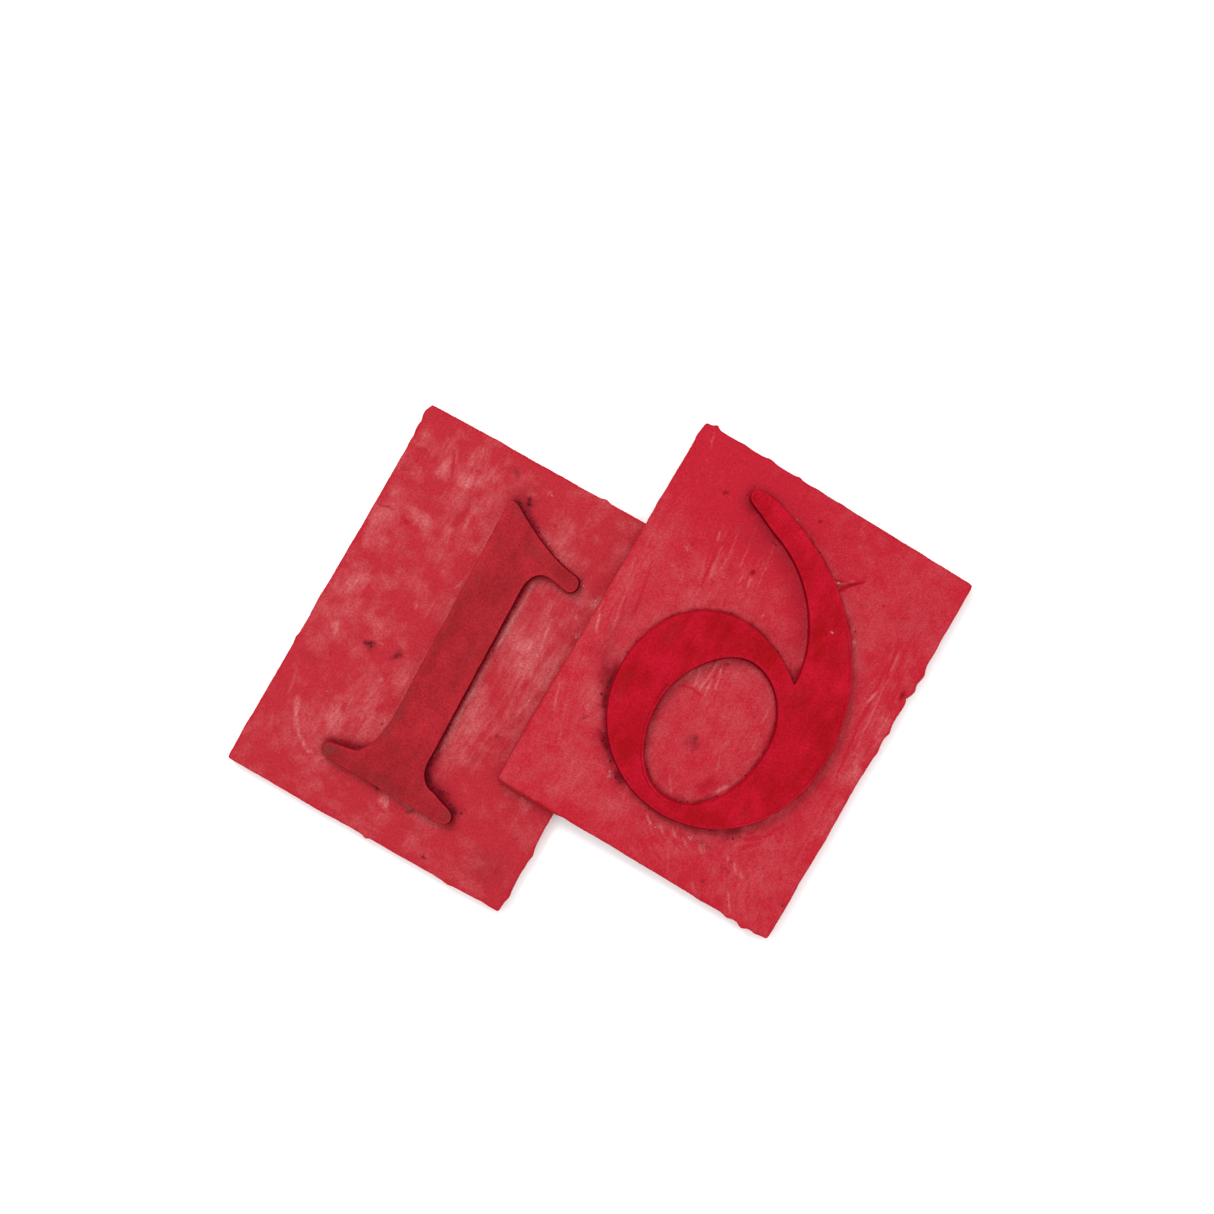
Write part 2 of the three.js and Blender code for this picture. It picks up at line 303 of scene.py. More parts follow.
# Pale bloom on the plates: (x, y, half width, half height, turn, strength). Negative is where it has gone.
BLOOM = {"one": [
    (-15.5, 26.5, 3.2, 1.8, 0, 0.22), (-17.3, 23.3, 1, 1.6, 0, 0.55), (-13.6, 23.4, 1.8, 1.2, 0, 0.48),
    (-14, 26.3, 1.2, 0.8, 0, 0.2), (-22.7, 27, 0.7, 1.3, 0, 0.25), (-22, 24.3, 1.2, 0.6, 0, 0.18),
    (-10.3, 26.8, 1, 1.3, 0, 0.25), (-17.3, 29.1, 1.5, 0.4, 0, 0.12), (-1.3, 27.8, 1.2, 0.55, -5, 0.5),
    (-2.9, 26.6, 1.2, 0.3, 45, 0.2), (-5.3, 28.9, 2.5, 1.5, 0, 0.07), (6, 25.5, 3.5, 1.3, 0, 0.1),
    (6.5, 21.8, 3.5, 0.8, -8, 0.14), (-16.3, 14.4, 1.2, 1.4, 0, 0.4), (-18, 15.5, 0.8, 0.8, 0, 0.2),
    (-12, 15.1, 1.3, 1, 0, 0.38), (-10.4, 18.2, 0.35, 1.7, 0, 0.35), (-13, 19.3, 0.6, 0.8, 0, 0.15),
    (-21.6, 17.2, 0.5, 0.3, 20, 0.25), (-22.2, 15.8, 0.4, 0.4, 0, 0.2), (-22.2, 9.5, 1.2, 3.2, 0, 0.25),
    (-19.5, 9, 0.6, 1.2, 0, 0.15), (-21.5, 12.5, 1.5, 1, 0, 0.12), (-18.3, 2.3, 3.4, 1.8, 0, 0.26),
    (-21.2, 0.8, 0.8, 0.9, 0, 0.25), (-14.8, -1.9, 2.2, 1.3, -10, 0.2), (-12.7, 0.3, 0.9, 0.6, 0, 0.25),
    (-20.5, -0.8, 2, 1, 0, 0.12), (-10.4, 2.7, 0.35, 0.6, 0, 0.35), (-9.3, 1, 1, 2.5, 0, 0.12),
    (-6.3, 9, 0.35, 0.9, 0, 0.35), (-5.6, 3.8, 0.35, 1.2, 0, 0.28), (-19, -6.5, 0.55, 1, 10, 0.5),
    (-9.5, -3.2, 1.4, 0.7, 0, 0.12), (-6.4, -8.2, 1.2, 2.2, -10, 0.32), (-9.2, -9.6, 0.3, 0.3, 0, 0.3),
    (-8.9, -12.3, 1, 2.6, 8, 0.28), (-13.3, -16, 2.4, 3, 0, 0.15), (-11.5, -19, 3, 1.3, 0, 0.2),
    (-7.4, -16.3, 1.7, 2.6, 0, 0.33), (0.4, -25.4, 0.65, 0.7, 0, 0.6), (-0.9, -27, 0.5, 0.6, 0, 0.15),
    (2, -24, 1.4, 0.22, 0, 0.5), (-8, -26.3, 0.5, 0.2, 10, 0.35), (-6.2, -25.8, 0.6, 0.25, 15, 0.25),
    (-17, -28.3, 1.8, 0.5, 10, 0.12), (-13.6, -26, 1.2, 0.5, 0, 0.14), (-13.5, -24.6, 0.6, 0.3, 0, 0.4),
    (14.8, -23.3, 0.5, 0.8, 0, 0.1), (8.2, 1, 5.6, 14, 0, 0.21), (5, 25, 7, 4, -10, 0.1),
    (3.8, 6.2, 0.7, 2.8, 0, 0.26), (7.6, 6, 2.2, 1.3, 0, 0.26), (8.8, 2.3, 2.4, 3, 0, 0.18),
    (12.4, 4.5, 0.9, 6.5, 0, 0.18), (5.8, -9.8, 2.2, 4.5, 0, 0.1), (4.4, -4, 0.8, 6, 0, 0.12),
    (11, 16.3, 1.5, 1, 0, 0.16), (12.9, 17.4, 0.6, 0.8, 0, 0.45), (12, 13.5, 0.7, 0.4, 0, 0.4),
    (13, 11.2, 0.45, 0.7, 0, 0.45), (12.4, 12.2, 0.3, 0.3, 0, 0.3), (11.7, 30.8, 1, 0.3, 0, 0.15),
    (-15, 6, 9, 26, 0, 0.1), (10.3, 1, 0.5, 3.5, 0, -0.18), (8.6, -6, 0.9, 1.4, 0, -0.14),
    (11.2, -10, 1.2, 5, 0, -0.1), (-12, 7.5, 4.5, 2, -8, -0.16), (-17, 5.4, 4, 0.6, 0, -0.08),
    (-13.5, -5, 6, 2.2, 0, -0.12), (-16.5, -10.8, 1.5, 1.2, 0, -0.12), (-20.5, -11.8, 2.5, 0.8, 0, -0.08),
    (-12.2, -15.8, 0.5, 1.1, 10, -0.25), (-21, 23.5, 1.6, 0.6, 0, -0.2), (-21.3, 18.6, 1.5, 1.2, 0, -0.2),
    (-11.4, 18.3, 0.5, 1.8, 0, -0.25), (-22.3, 13.6, 1.2, 0.2, 0, -0.2), (-19.9, 29, 2.8, 1.2, 0, -0.1),
], "six": [
    (0, -5, 7, 8, 0, 0.07), (-17, -13.5, 3.5, 2.8, -20, 0.12), (-12, -25.5, 8, 2, 0, 0.07),
    (20.5, -12, 2, 8, 0, 0.06), (22.3, -2, 0.8, 2.5, 5, 0.22), (22.9, -10, 0.4, 4.5, -3, 0.16),
    (23.4, 3, 0.3, 1, 0, 0.2), (-22, 30, 1.5, 1, 0, 0.12), (-20.5, 12, 0.4, 8, 0, 0.06),
    (-16.6, 13.6, 0.45, 0.45, 0, 0.3), (-17.3, 10.4, 0.3, 0.5, 0, 0.2), (-1.7, 10.4, 0.25, 0.45, 0, 0.3),
    (-0.3, 9.6, 0.3, 0.3, 0, 0.15), (12.3, 14.1, 0.35, 0.35, 0, 0.45), (17.5, 1.7, 0.3, 0.3, 0, 0.35),
    (5.8, -24, 0.3, 0.3, 0, 0.5), (0.4, -25.2, 0.35, 0.2, -45, 0.4), (-9.7, -21.9, 0.35, 0.55, -20, 0.35),
    (3.6, -9.2, 0.4, 0.5, 0, 0.18), (7.3, -9.7, 0.5, 0.8, 0, 0.15), (6.4, -15, 0.45, 1.4, -35, 0.9),
    (-4.3, -3, 1.6, 1.2, 0, 0.1), (19.1, 8.4, 0.2, 0.8, 0, 0.5), (18.5, 10.5, 0.2, 0.8, 0, 0.35),
    (22.4, 6.3, 0.6, 0.8, 0, 0.15), (16.2, -18.3, 1.5, 1.5, 0, 0.12), (-5, -29.3, 20, 1, 0, -0.05),
    (4.4, -15.8, 1, 1.8, -35, -0.12), (-15, 28.5, 6, 2, 0, -0.05), (2, 16, 4, 2, -40, -0.04),
]}

# An even haze over a plate, without streaks: (x, y, half width, half height, turn, strength).
HAZE = {"one": [], "six": [
    (0, -8, 60, 45, 0, 0.07), (-13, 26, 14, 8, -10, -0.13), (-2, -32, 18, 2.5, 0, -0.05),
    (-17, -15, 5, 9, 0, 0.03), (20.5, -6, 4, 20, 0, -0.02), (3, 16.5, 7, 3, -45, -0.04),
]}

# Pale or (negative) dark scratches: (x0, y0, x1, y1, half width, strength).
SCRATCHES = {"one": [
    (8.4, 11.6, 9.4, 6, 0.14, 0.35), (9.2, 5.9, 9.2, 5.5, 0.25, 0.6), (7, 14, 7.6, 11.5, 0.16, 0.2),
    (3.6, -7, 3.85, -14.2, 0.32, 0.36), (3.3, 15, 3.35, 4, 0.34, 0.3), (3.4, 5, 3.6, -7.5, 0.34, 0.28),
    (3.6, -8, 4.6, -13, 0.14, 0.12), (9.4, -8, 9.3, -14, 0.16, -0.1), (11.8, -0.5, 11.2, -4, 0.2, 0.25),
    (6.8, -2.5, 5.8, -6, 0.16, -0.15), (-19.3, -18, -18, -20.6, 0.45, 0.3),
    (-18, -20.6, -16.2, -23, 0.45, 0.33), (-16.2, -23, -13.6, -24.6, 0.3, 0.33),
    (-17.4, 26.3, -15.6, 22.6, 0.15, -0.35), (-16.5, 27, -15.9, 25.2, 0.13, -0.25),
    (-14.9, -5.6, -12.8, -5.1, 0.15, -0.3), (-13.2, -5.2, -11.5, -4.6, 0.12, 0.2),
    (-21.5, -14, -20.6, -18.5, 0.14, 0.15), (-20.4, 8, -20, 1, 0.12, -0.1), (-8.3, 6, -8.6, -1, 0.14, 0.12),
    (-23, 19.5, -21.8, 20.4, 0.14, -0.2),
], "six": [
    (-3.9, 1, -4.2, -4, 0.17, 0.38), (-2.9, 0.6, -2.1, -3, 0.16, 0.42),
    (-5.5, -1.5, -5.2, -3.8, 0.14, 0.32), (-3.3, -1.5, -3.2, -4.2, 0.14, 0.32),
    (-6.5, -1.6, -6.9, -3.6, 0.16, 0.22), (6.5, -0.8, 6.6, -3.8, 0.14, 0.2), (6.9, -5, 7.4, -8, 0.2, 0.14),
    (3.5, -11, 4.4, -13.3, 0.12, 0.28), (-1.7, -17.4, 0, -19.6, 0.12, 0.2),
    (-13.8, 18.4, -13.3, 17, 0.16, 0.32), (-12.9, 17.2, -11.9, 9.5, 0.14, -0.55),
    (-12.3, 17, -11.4, 10.5, 0.1, 0.22), (-6.2, 15, -5.8, 13, 0.14, 0.35),
    (-7.3, 14.5, -7.4, 13, 0.12, 0.2), (19.2, 16.8, 19.7, 12.6, 0.14, 0.22),
    (19.4, 9.6, 19.1, 7.4, 0.17, 0.5), (-21.4, 3, -20.4, -2.8, 0.13, 0.25),
    (-22.6, 2, -21.9, -1.5, 0.12, 0.14), (-23.6, -0.5, -22.2, -4.4, 0.16, 0.35),
    (-23.2, -1.5, -22.4, -4, 0.12, 0.3), (-23.2, -13.5, -21.9, -17.5, 0.14, 0.25),
    (15.1, -24.7, 15.9, -25.8, 0.16, 0.4), (15.2, -28.5, 17, -31, 0.14, 0.35),
    (8, -23.8, 9, -24.8, 0.14, 0.25), (19.5, 4.5, 20, 1.5, 0.16, 0.14), (22.7, 8, 22.9, 3, 0.14, 0.2),
    (-22, 31, -21.3, 28.4, 0.14, 0.22), (-20.9, 28, -20.4, 22, 0.12, 0.08),
    (18.6, 17.5, 19.5, 12, 0.14, -0.35), (18.7, 14, 19.6, 5, 0.12, -0.4), (19.9, 12, 21.3, -2, 0.13, 0.22),
    (19.2, 6.5, 20.6, -5, 0.14, -0.3), (15.8, -18.2, 13.4, -20.2, 0.2, -0.8),
    (14.6, -20.2, 13.4, -21.8, 0.16, -0.6), (17.3, -15.2, 15.8, -18.2, 0.18, -0.4),
    (-1.7, -24.4, -0.3, -25.5, 0.16, 0.45), (0.9, -24.5, 2, -25.6, 0.15, 0.4),
    (2.9, -24.2, 4.1, -25.2, 0.15, 0.45), (4.9, -24.6, 6.1, -25.6, 0.14, 0.4),
    (-6.9, -4.6, -5.4, -4.2, 0.12, -0.45), (-5.4, -4.2, -3.6, -4.7, 0.12, -0.45),
    (7.6, -24.2, 8.6, -25.3, 0.18, 0.35), (13.6, -24, 14.9, -25.6, 0.17, 0.4),
    (12, -23.4, 12.7, -24.4, 0.16, 0.3), (-14.4, 20.2, -13, 12.5, 0.13, -0.25),
    (-11.2, 20, -10.6, 13, 0.12, 0.2), (-9.4, 22.4, -8.3, 15.5, 0.13, 0.2),
    (-5.4, 21, -4.6, 14.5, 0.12, 0.18), (-20.2, 9.5, -18.6, 1, 0.13, -0.2),
    (-22.9, 8.5, -21.6, 3.5, 0.12, 0.2), (-21, -15, -18.6, -22, 0.12, 0.14),
    (3.2, -26, 5.6, -30.5, 0.13, 0.14), (9.5, -30, 11.2, -31.2, 0.12, 0.2),
    (20.4, -28, 21, -30.5, 0.14, 0.12), (-18.4, -14.6, -17.2, -16.4, 0.12, -0.15),
]}

# Patches of fine parallel scratches: (x, y, half width, half length, turn, strength).
BRUSHED = {"one": [
    (-14, 26, 9, 7, 0, 0.5), (-20, 5, 4, 7, 0, 0.25), (8.5, 0, 6, 15, 1, 0.5), (-12.5, -16, 7, 7, 5, 0.4),
    (-19, -21, 4, 6, 28, 0.4), (0, -27, 12, 4, 80, 0.3), (7, -8, 4, 9, -12, 0.35), (-12, 12, 6, 8, 2, 0.25),
], "six": [
    (-12.5, 14.5, 3, 7, 3, 0.55), (-6.3, 16.5, 2.2, 5.5, 2, 0.5), (-22, 8, 2.2, 12, 2, 0.4),
    (20.5, 10, 3, 12, 5, 0.5), (22, -9, 1.8, 12, -3, 0.45), (-3.8, -1.5, 3.2, 4.2, 5, 0.6),
    (3, -27, 9, 4, 70, 0.4), (16, -27, 5, 5, 30, 0.4), (13.5, -19.5, 3, 3, -35, 0.5),
    (-21.5, -14, 3, 7, 12, 0.35), (2.5, -26, 4, 4, 35, 0.35), (5.5, -6, 3, 5, -4, 0.35),
    (-19, 27.5, 5, 4, 10, 0.35), (-21.5, -1, 2.5, 5, 14, 0.5),
]}

# Dirt on the plates: (x, y, half width, half height, turn, strength).
DIRT = {"one": [
    (-13.4, -5.5, 0.8, 0.55, 20, 1.1), (-12.9, -6.4, 0.5, 0.6, 0, 0.5), (-9.2, -5.2, 0.55, 0.6, 0, 1),
    (-1.8, -24.2, 0.55, 0.35, 0, 0.8), (4.1, -24.2, 0.5, 0.4, 20, 0.75), (-3.2, 25.3, 0.45, 0.35, 0, 0.6),
    (-9.5, -4.2, 0.5, 0.3, 0, 0.25), (10.5, -8, 0.25, 0.25, 0, 0.6), (10.1, -29.7, 0.28, 0.28, 0, 0.9),
    (-3.5, 25.1, 0.6, 0.35, -35, 0.4), (-7, 24.8, 0.7, 0.3, 0, 0.3), (19.5, -26.3, 3, 2.6, 0, 0.2),
    (-7.5, 28.2, 0.7, 0.6, 0, 0.35), (-21.5, 23.5, 1.4, 0.7, 0, 0.12), (-22.3, 20.4, 1, 0.5, 10, 0.16),
    (-11.4, 18.2, 0.5, 1.8, 0, 0.14), (-22.4, 13.6, 1.2, 0.2, 0, 0.5), (-20.6, -12, 2.2, 0.6, 8, 0.12),
    (-4.5, 26.4, 2, 1.4, 0, 0.14), (9, -13, 0.5, 2, 0, 0.1), (-10, 20.5, 2.5, 0.6, 0, 0.1),
], "six": [
    (-1.2, -11, 1.3, 0.7, -15, 0.4), (-0.7, -11, 0.35, 1.2, 0, 0.25), (-18.8, -6.5, 2.2, 3.2, 20, 0.2),
    (-17.6, -9, 1, 1.8, 0, 0.25), (-17.2, -16.2, 0.28, 0.28, 0, 0.45), (10.9, -28.4, 0.25, 0.25, 0, 0.5),
    (23.4, -26, 0.3, 0.3, 0, 0.5), (12.9, -25.6, 0.6, 0.25, 20, 0.35), (-19.5, 1, 1.6, 2.6, 0, 0.1),
    (13, -24, 0.25, 0.2, 0, 0.5), (-9, 19.8, 4, 1.2, -15, 0.1), (19, 21.5, 2.5, 4, 0, 0.05),
    (-20, -3, 1, 3, 10, 0.12), (8.5, -24.2, 1.6, 0.4, 10, 0.25), (2, -24.6, 5, 0.6, 3, 0.06),
]}

# Small pits, which show a deeper red: (x, y, half width, half height, turn, depth share).
PITS = {"one": [
    (-18.1, 13.2, 0.35, 0.3, 0, 0.6), (-21.6, 22, 0.35, 0.3, 0, 0.5), (1.8, 24, 0.25, 0.25, 0, 0.5),
], "six": [
    (-15.8, 23.9, 0.42, 0.36, 0, 1), (-6.1, 15.5, 0.36, 0.42, 20, 1), (-1.2, 27.4, 0.32, 0.22, 0, 0.8),
    (3.3, 27.3, 0.26, 0.22, 0, 0.6), (-16.3, 14.7, 0.26, 0.26, 0, 0.6), (23.2, 10.8, 0.35, 0.75, 0, 1),
    (4.4, -15.8, 0.9, 1.6, -35, 0.42), (-2.5, 1.6, 0.25, 0.25, 0, 0.6), (21, -22.7, 0.3, 0.2, 0, 0.4),
    (-20.3, 24.5, 0.2, 0.2, 0, 0.4), (17.2, 21, 0.3, 0.2, 0, 0.3),
]}

# Dirt and painted shade packed against the numeral's foot: (x, y, reach along the foot, band width,
# strength).
FOOT = {"one": [
    (-4, 24.4, 1.7, 0.67, 0.95), (-1.5, 22.4, 1.9, 0.47, 0.85), (2, 20.9, 1.9, 0.29, 0.7),
    (6, 19.9, 2.6, 0.19, 0.45), (9.6, 19.3, 1, 0.41, 0.5), (9.9, 17.5, 1.2, 0.24, 0.55),
    (7, 16.5, 2.6, 0.19, 0.4), (3.2, 16.4, 1.4, 0.29, 0.7), (2.5, 13, 3.2, 0.25, 0.8),
    (2.7, 7, 4.2, 0.22, 0.75), (2.9, 1, 4.2, 0.19, 0.65), (3.1, -6, 4.2, 0.19, 0.65),
    (3.3, -13, 3.2, 0.25, 0.8), (3.6, -17, 1.9, 0.53, 0.95), (4.8, -19.3, 1.9, 1, 1), (7.5, -20.3, 2, 1, 1),
    (10.3, -21, 1.3, 0.9, 0.95), (11.1, -22.5, 1, 0.53, 0.8), (8, -23.9, 2.6, 0.14, 0.12),
    (3, -23.9, 2.6, 0.12, 0.075), (-3, -23.9, 2.6, 0.14, 0.2), (-8, -23.9, 2.6, 0.14, 0.15),
    (-8.5, -20.9, 1.9, 0.67, 0.95), (-11, -21.4, 1.1, 0.6, 0.9), (-6.2, -20, 1, 0.47, 0.8),
    (-11.8, -22.8, 0.9, 0.29, 0.35), (-5.9, -16, 1.2, 0.19, 0.3),
], "six": [
    (-16.6, -3, 2.6, 0.3, 0.5), (-16.7, -9.3, 2.2, 0.75, 0.95), (-15.9, -12.5, 1.4, 0.74, 1),
    (-14.5, -15.2, 1.6, 0.54, 0.72), (-12.8, -17.8, 1.6, 0.84, 1), (-11, -19.6, 1.6, 0.54, 0.78),
    (-8.3, -21.6, 1.3, 0.75, 0.95), (-4, -23, 2.6, 0.41, 0.5), (1, -23.5, 2.6, 0.41, 0.45),
    (5.5, -23.7, 2.2, 0.47, 0.6), (9, -22.2, 1.6, 0.41, 0.6), (11.6, -20.6, 1.4, 0.82, 0.85),
    (14.2, -18, 1.6, 0.29, 0.45), (-15.8, 0.8, 2, 0.19, 0.6), (-13.8, 4, 2.2, 0.17, 0.7),
    (-10.5, 7, 2.2, 0.19, 0.7), (-6, 8.5, 2.6, 0.21, 0.75), (-1, 8.6, 2.2, 0.25, 0.75),
    (3, 7.4, 2, 0.19, 0.5), (7.3, 5.5, 1.3, 0.41, 0.7), (9.2, -5, 3, 0.24, 0.75), (9.3, -9, 3, 0.21, 0.75),
    (8.2, -13.5, 2, 0.24, 0.65), (5, -18, 2, 0.29, 0.8), (0, -20.6, 3.2, 0.29, 0.8),
    (-4.5, -19.4, 2, 0.24, 0.65), (-8, -14, 2.6, 0.19, 0.5), (-8.8, -9, 3, 0.24, 0.55),
    (-8.4, -5, 2.2, 0.19, 0.45), (-5.5, 0.4, 2.2, 0.17, 0.45), (0, 3.6, 3, 0.24, 0.55),
    (4, 2.9, 2, 0.19, 0.5), (7.5, 0.1, 1.9, 0.19, 0.5), (5.6, 12, 3.2, 1.7, 0.34),
    (2, 17.3, 3.2, 1.7, 0.36), (-3, 20.6, 3.2, 1.5, 0.42), (-7.5, 22.6, 2.6, 1.3, 0.5),
    (-11.5, 24.3, 1.6, 1.1, 0.6), (-12.8, 25.8, 1, 0.53, 0.6), (-9, 27, 2.6, 0.24, 0.6),
    (-3, 25.1, 3, 0.19, 0.6), (2, 22.9, 3, 0.19, 0.6), (7, 19.2, 2, 0.12, 0.35), (11, 15.6, 2, 0.14, 0.4),
    (17.9, -4, 3, 0.19, 0.35), (17.3, -9, 3, 0.19, 0.4), (15.5, 7.5, 3, 0.1, 0.25),
]}

# Tone of the printing faces: (x, y, half width, half height, turn, strength), positive being paler.
FACE = {"one": [
    (0, -22.8, 13, 1.6, 0, -0.55), (6.5, 18.4, 4.5, 1.8, -5, -0.6), (-4.5, 0, 1, 22, 0, -0.25),
    (1, -9, 2, 7, 0, 0.35), (-3.5, 23.5, 2, 1.5, 0, -0.2), (-0.8, -9.5, 0.8, 1.3, 0, 0.5),
    (-2.6, 19, 2.2, 2.2, 0, 0.22), (-3.5, -14, 1.2, 4, 0, 0.2), (-10.7, -22.8, 0.6, 0.4, 0, 0.6),
    (-2, -21.5, 4, 1, 0, 0.2), (-4.3, 3, 0.8, 7, 0, -0.25), (0.5, 10, 1.4, 5, 0, -0.2),
    (1, -3, 1, 4, 0, -0.12), (6, 18.2, 2, 0.8, 0, -0.25),
], "six": [
    (-9, 3, 1.8, 1.4, 0, 0.5), (13.3, 7.2, 2.5, 1, 10, 0.5), (12, -14.8, 2.5, 1.3, -20, 0.45),
    (14, -3.5, 2.2, 1.2, 0, 0.3), (0, -21.8, 6, 0.8, 0, 0.35), (-8, 25.5, 3, 0.7, -10, 0.45),
    (0, 22.5, 3, 0.9, -25, 0.35), (8.6, 13.6, 0.35, 0.35, 0, 1.6), (11.5, -18.5, 1.5, 1.5, 40, 0.35),
    (-13, -14.5, 1.5, 2.5, 25, 0.2), (16, -8, 1, 4, 0, -0.2), (-13.5, -4, 1.5, 4, 0, -0.15),
]}

# Brown soil on the printing faces: (x, y, half width, half height, turn, strength).
SOIL = {"one": [
    (10, -22.3, 1.3, 1, 0, 0.55), (-10.8, -22.8, 1.6, 0.8, 0, 0.6), (-4.6, -13, 0.9, 4.5, 0, 0.35),
    (-3.8, 23.8, 1.6, 0.9, 0, 0.45), (-4.7, 8, 0.8, 9, 0, 0.22), (9.3, 18, 0.9, 0.8, 0, 0.5),
    (-2.5, -22.6, 5, 0.9, 0, 0.3), (4.5, -20.8, 2.5, 0.8, -20, 0.3), (2.2, 18.6, 3.5, 1, -8, 0.3),
    (0.6, 5, 1.2, 8, 0, 0.12),
], "six": [
    (-12.8, 1, 1.8, 3, 20, 0.14), (12.5, 13.2, 1.2, 1.6, 0, 0.2), (15, -8.3, 0.6, 0.4, 0, 0.3),
    (11, -17, 1, 0.6, 0, 0.2), (9, 2.5, 2, 2, 0, 0.12), (-14.5, -9, 0.7, 3, 5, 0.14),
]}

# Where a second thin line shows just inside the face's edge: (x, y, reach, strength).
LINES = {"one": [
    (9.5, 17.4, 2, 0.5), (8, -21.5, 3, 0.4),
], "six": [
    (-14, -15, 6.5, 0.25), (-16.5, -7, 4, 0.2), (-6, -22.5, 5, 0.5), (3, -23.5, 5, 0.35),
    (17.8, -7, 7, 0.8), (17, 3, 5, 0.7), (13, 12, 5, 0.5), (14.5, -17, 5, 0.6), (-8.9, -8, 5, 0.95),
    (-8, -14.5, 4, 1), (-4, -19, 3.5, 0.9), (-13, 25.5, 2.2, 0.8),
]}

# Loose crumbs, and one pale lump that is a painted highlight: (x, y, size, how pale).
CRUMBS = {"one": [
    (-3.4, 25, 0.55, 0), (-2.9, 24.2, 0.35, 0.1), (-2.1, 23, 0.4, 0), (-0.2, 22, 0.3, 0),
    (2.3, 21.3, 0.42, 0.9), (10.1, 18.4, 0.34, 0.9), (10.3, 17.6, 0.26, 0.7), (6, 16.3, 0.24, 0.8),
    (-1.8, -24, 0.36, 0), (4, -24, 0.34, 0), (3.75, -16.7, 0.34, 0), (4.2, -18.5, 0.36, 0),
    (11.4, -21, 0.5, 0), (11.5, -20.2, 0.26, 0.1), (2.75, 9.4, 0.3, 0.8), (3, 6.8, 0.34, 0.7),
    (3.05, 2.4, 0.3, 0.8), (3.2, 3.6, 0.24, 0.7), (9.2, 5.7, 0.3, 1), (12.9, 17.3, 0.45, 0.9),
    (13.1, 11, 0.4, 0.9), (-1, 27.9, 0.34, 0.9), (0.3, -25.2, 0.36, 0.9), (-13.4, -24.6, 0.3, 0.9),
    (-19, -6.9, 0.3, 0.9), (-13.3, -5.9, 0.42, 0), (-9.1, -5.4, 0.38, 0), (-5.9, -15.4, 0.28, 0),
    (10.1, -29.7, 0.26, 0), (-9.2, -9.5, 0.24, 0.9), (-15.7, -15.2, 0.2, 0.9),
], "six": [
    (-16.9, -11.9, 0.5, 0), (-16.6, -10.6, 0.4, 0), (-13.2, -18, 0.5, 0), (-12.2, -18.8, 0.34, 0.1),
    (-8.6, -21.8, 0.6, 0), (-7.6, -22.1, 0.45, 0), (-9.8, -21.5, 0.4, 0.8), (11.6, -20.9, 0.55, 0),
    (12.4, -20.2, 0.35, 0.1), (10.9, -21.4, 0.35, 0.1), (5.7, -24.1, 0.36, 0.9), (7.9, -24, 0.32, 0.1),
    # The pale lump at (5.9, 20.75) is a painted highlight, the glint at the crease's end.
    (0.5, -25.3, 0.3, 0.9), (12.3, 14.1, 0.36, 0.9), (11.9, 15.7, 0.36, 0), (5.9, 20.75, 0.4, 1),
    (17.5, 1.7, 0.26, 0.8), (-15.6, 23.7, 0.28, 0.5), (13, -25.4, 0.3, 0.1), (19.1, 8.3, 0.28, 0.9),
    (8.7, 13.7, 0.5, 0.75), (14, -1.3, 0.24, 0.05), (-16.5, 13.5, 0.3, 0.8), (-9.6, -22.3, 0.26, 0.8),
    (15.6, -18.6, 0.26, 0.6), (23.4, -26.1, 0.3, 0),
]}

# The crease that runs off the 6's stem, with a painted highlight along its ridge: (x0, y0, x1, y1, half
# width, height).
CREASE = {"one": [], "six": [
    (5.4, 20.4, 6.5, 20.8, 0.28, 0.26), (6.1, 20.7, 8.1, 22.4, 0.2, 0.24),
]}

# Fresh nicks that show clean dark red: (x0, y0, x1, y1, half width, strength).
NICKS = {"one": [
    (-18.2, -9.6, -17.9, -10.4, 0.14, 0.6), (-5.95, -15.3, -5.85, -15.6, 0.2, 0.9),
    (11.6, -5.6, 11.9, -5.9, 0.14, 0.5),
], "six": [
    (6.5, 19.7, 7.9, 21.6, 0.3, 1), (7.5, 21.2, 9.4, 23, 0.2, 1), (5, 20.9, 7, 21.5, 0.13, 0.7),
    (13.6, 21.5, 13.9, 20.8, 0.14, 0.6), (-1.4, 27.2, -0.9, 27.5, 0.18, 0.7),
    (10.4, 15.9, 10.9, 15.4, 0.16, 0.6),
]}


# ---------------------------------------------------------------- meshes


def add_object(name, data):
    added = bpy.data.objects.new(name, data)
    bpy.context.scene.collection.objects.link(added)
    return added


def make_object(name, verts, faces, die, material, attributes, smooth_angle=50):
    """A mesh piece from places in the die's frame, riding on the die's body."""
    mesh = bpy.data.meshes.new(name)
    mesh.from_pydata(die.world(verts).tolist(), [], faces)
    mesh.validate()
    mesh.shade_smooth()
    mesh.set_sharp_from_angle(angle=math.radians(smooth_angle))
    for key, values in attributes.items():
        mesh.attributes.new(key, "FLOAT", "POINT").data.foreach_set("value", np.asarray(values, np.float32))
    mesh.materials.append(material)
    piece = add_object(name, mesh)
    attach(piece, die.body)
    return piece


def plate_corners(die):
    """The four sharp corners of the plate's cuts: lower left, lower right, upper right, upper left."""
    sides = []
    points = die.outline
    for a, b in zip(points, np.roll(points, -1, 0)):
        if np.hypot(*(b - a)) > 10:
            sides.append((a, b - a))
    sides.sort(key=lambda side: math.atan2(side[1][1], side[1][0]) % (2 * math.pi))
    # Now in the order bottom, right, top, left, though the bottom's angle may wrap round.
    if abs(sides[-1][1][1]) < abs(sides[-1][1][0]):
        sides.insert(0, sides.pop())
    bottom, right, top, left = sides
    return [crossing(left, bottom), crossing(bottom, right), crossing(right, top), crossing(top, left)]


def crossing(one, other):
    """Where two lines, each (point, direction), cross."""
    (p, d), (q, e) = one, other
    t = ((q - p)[0] * e[1] - (q - p)[1] * e[0]) / (d[0] * e[1] - d[1] * e[0])
    return p + t * d


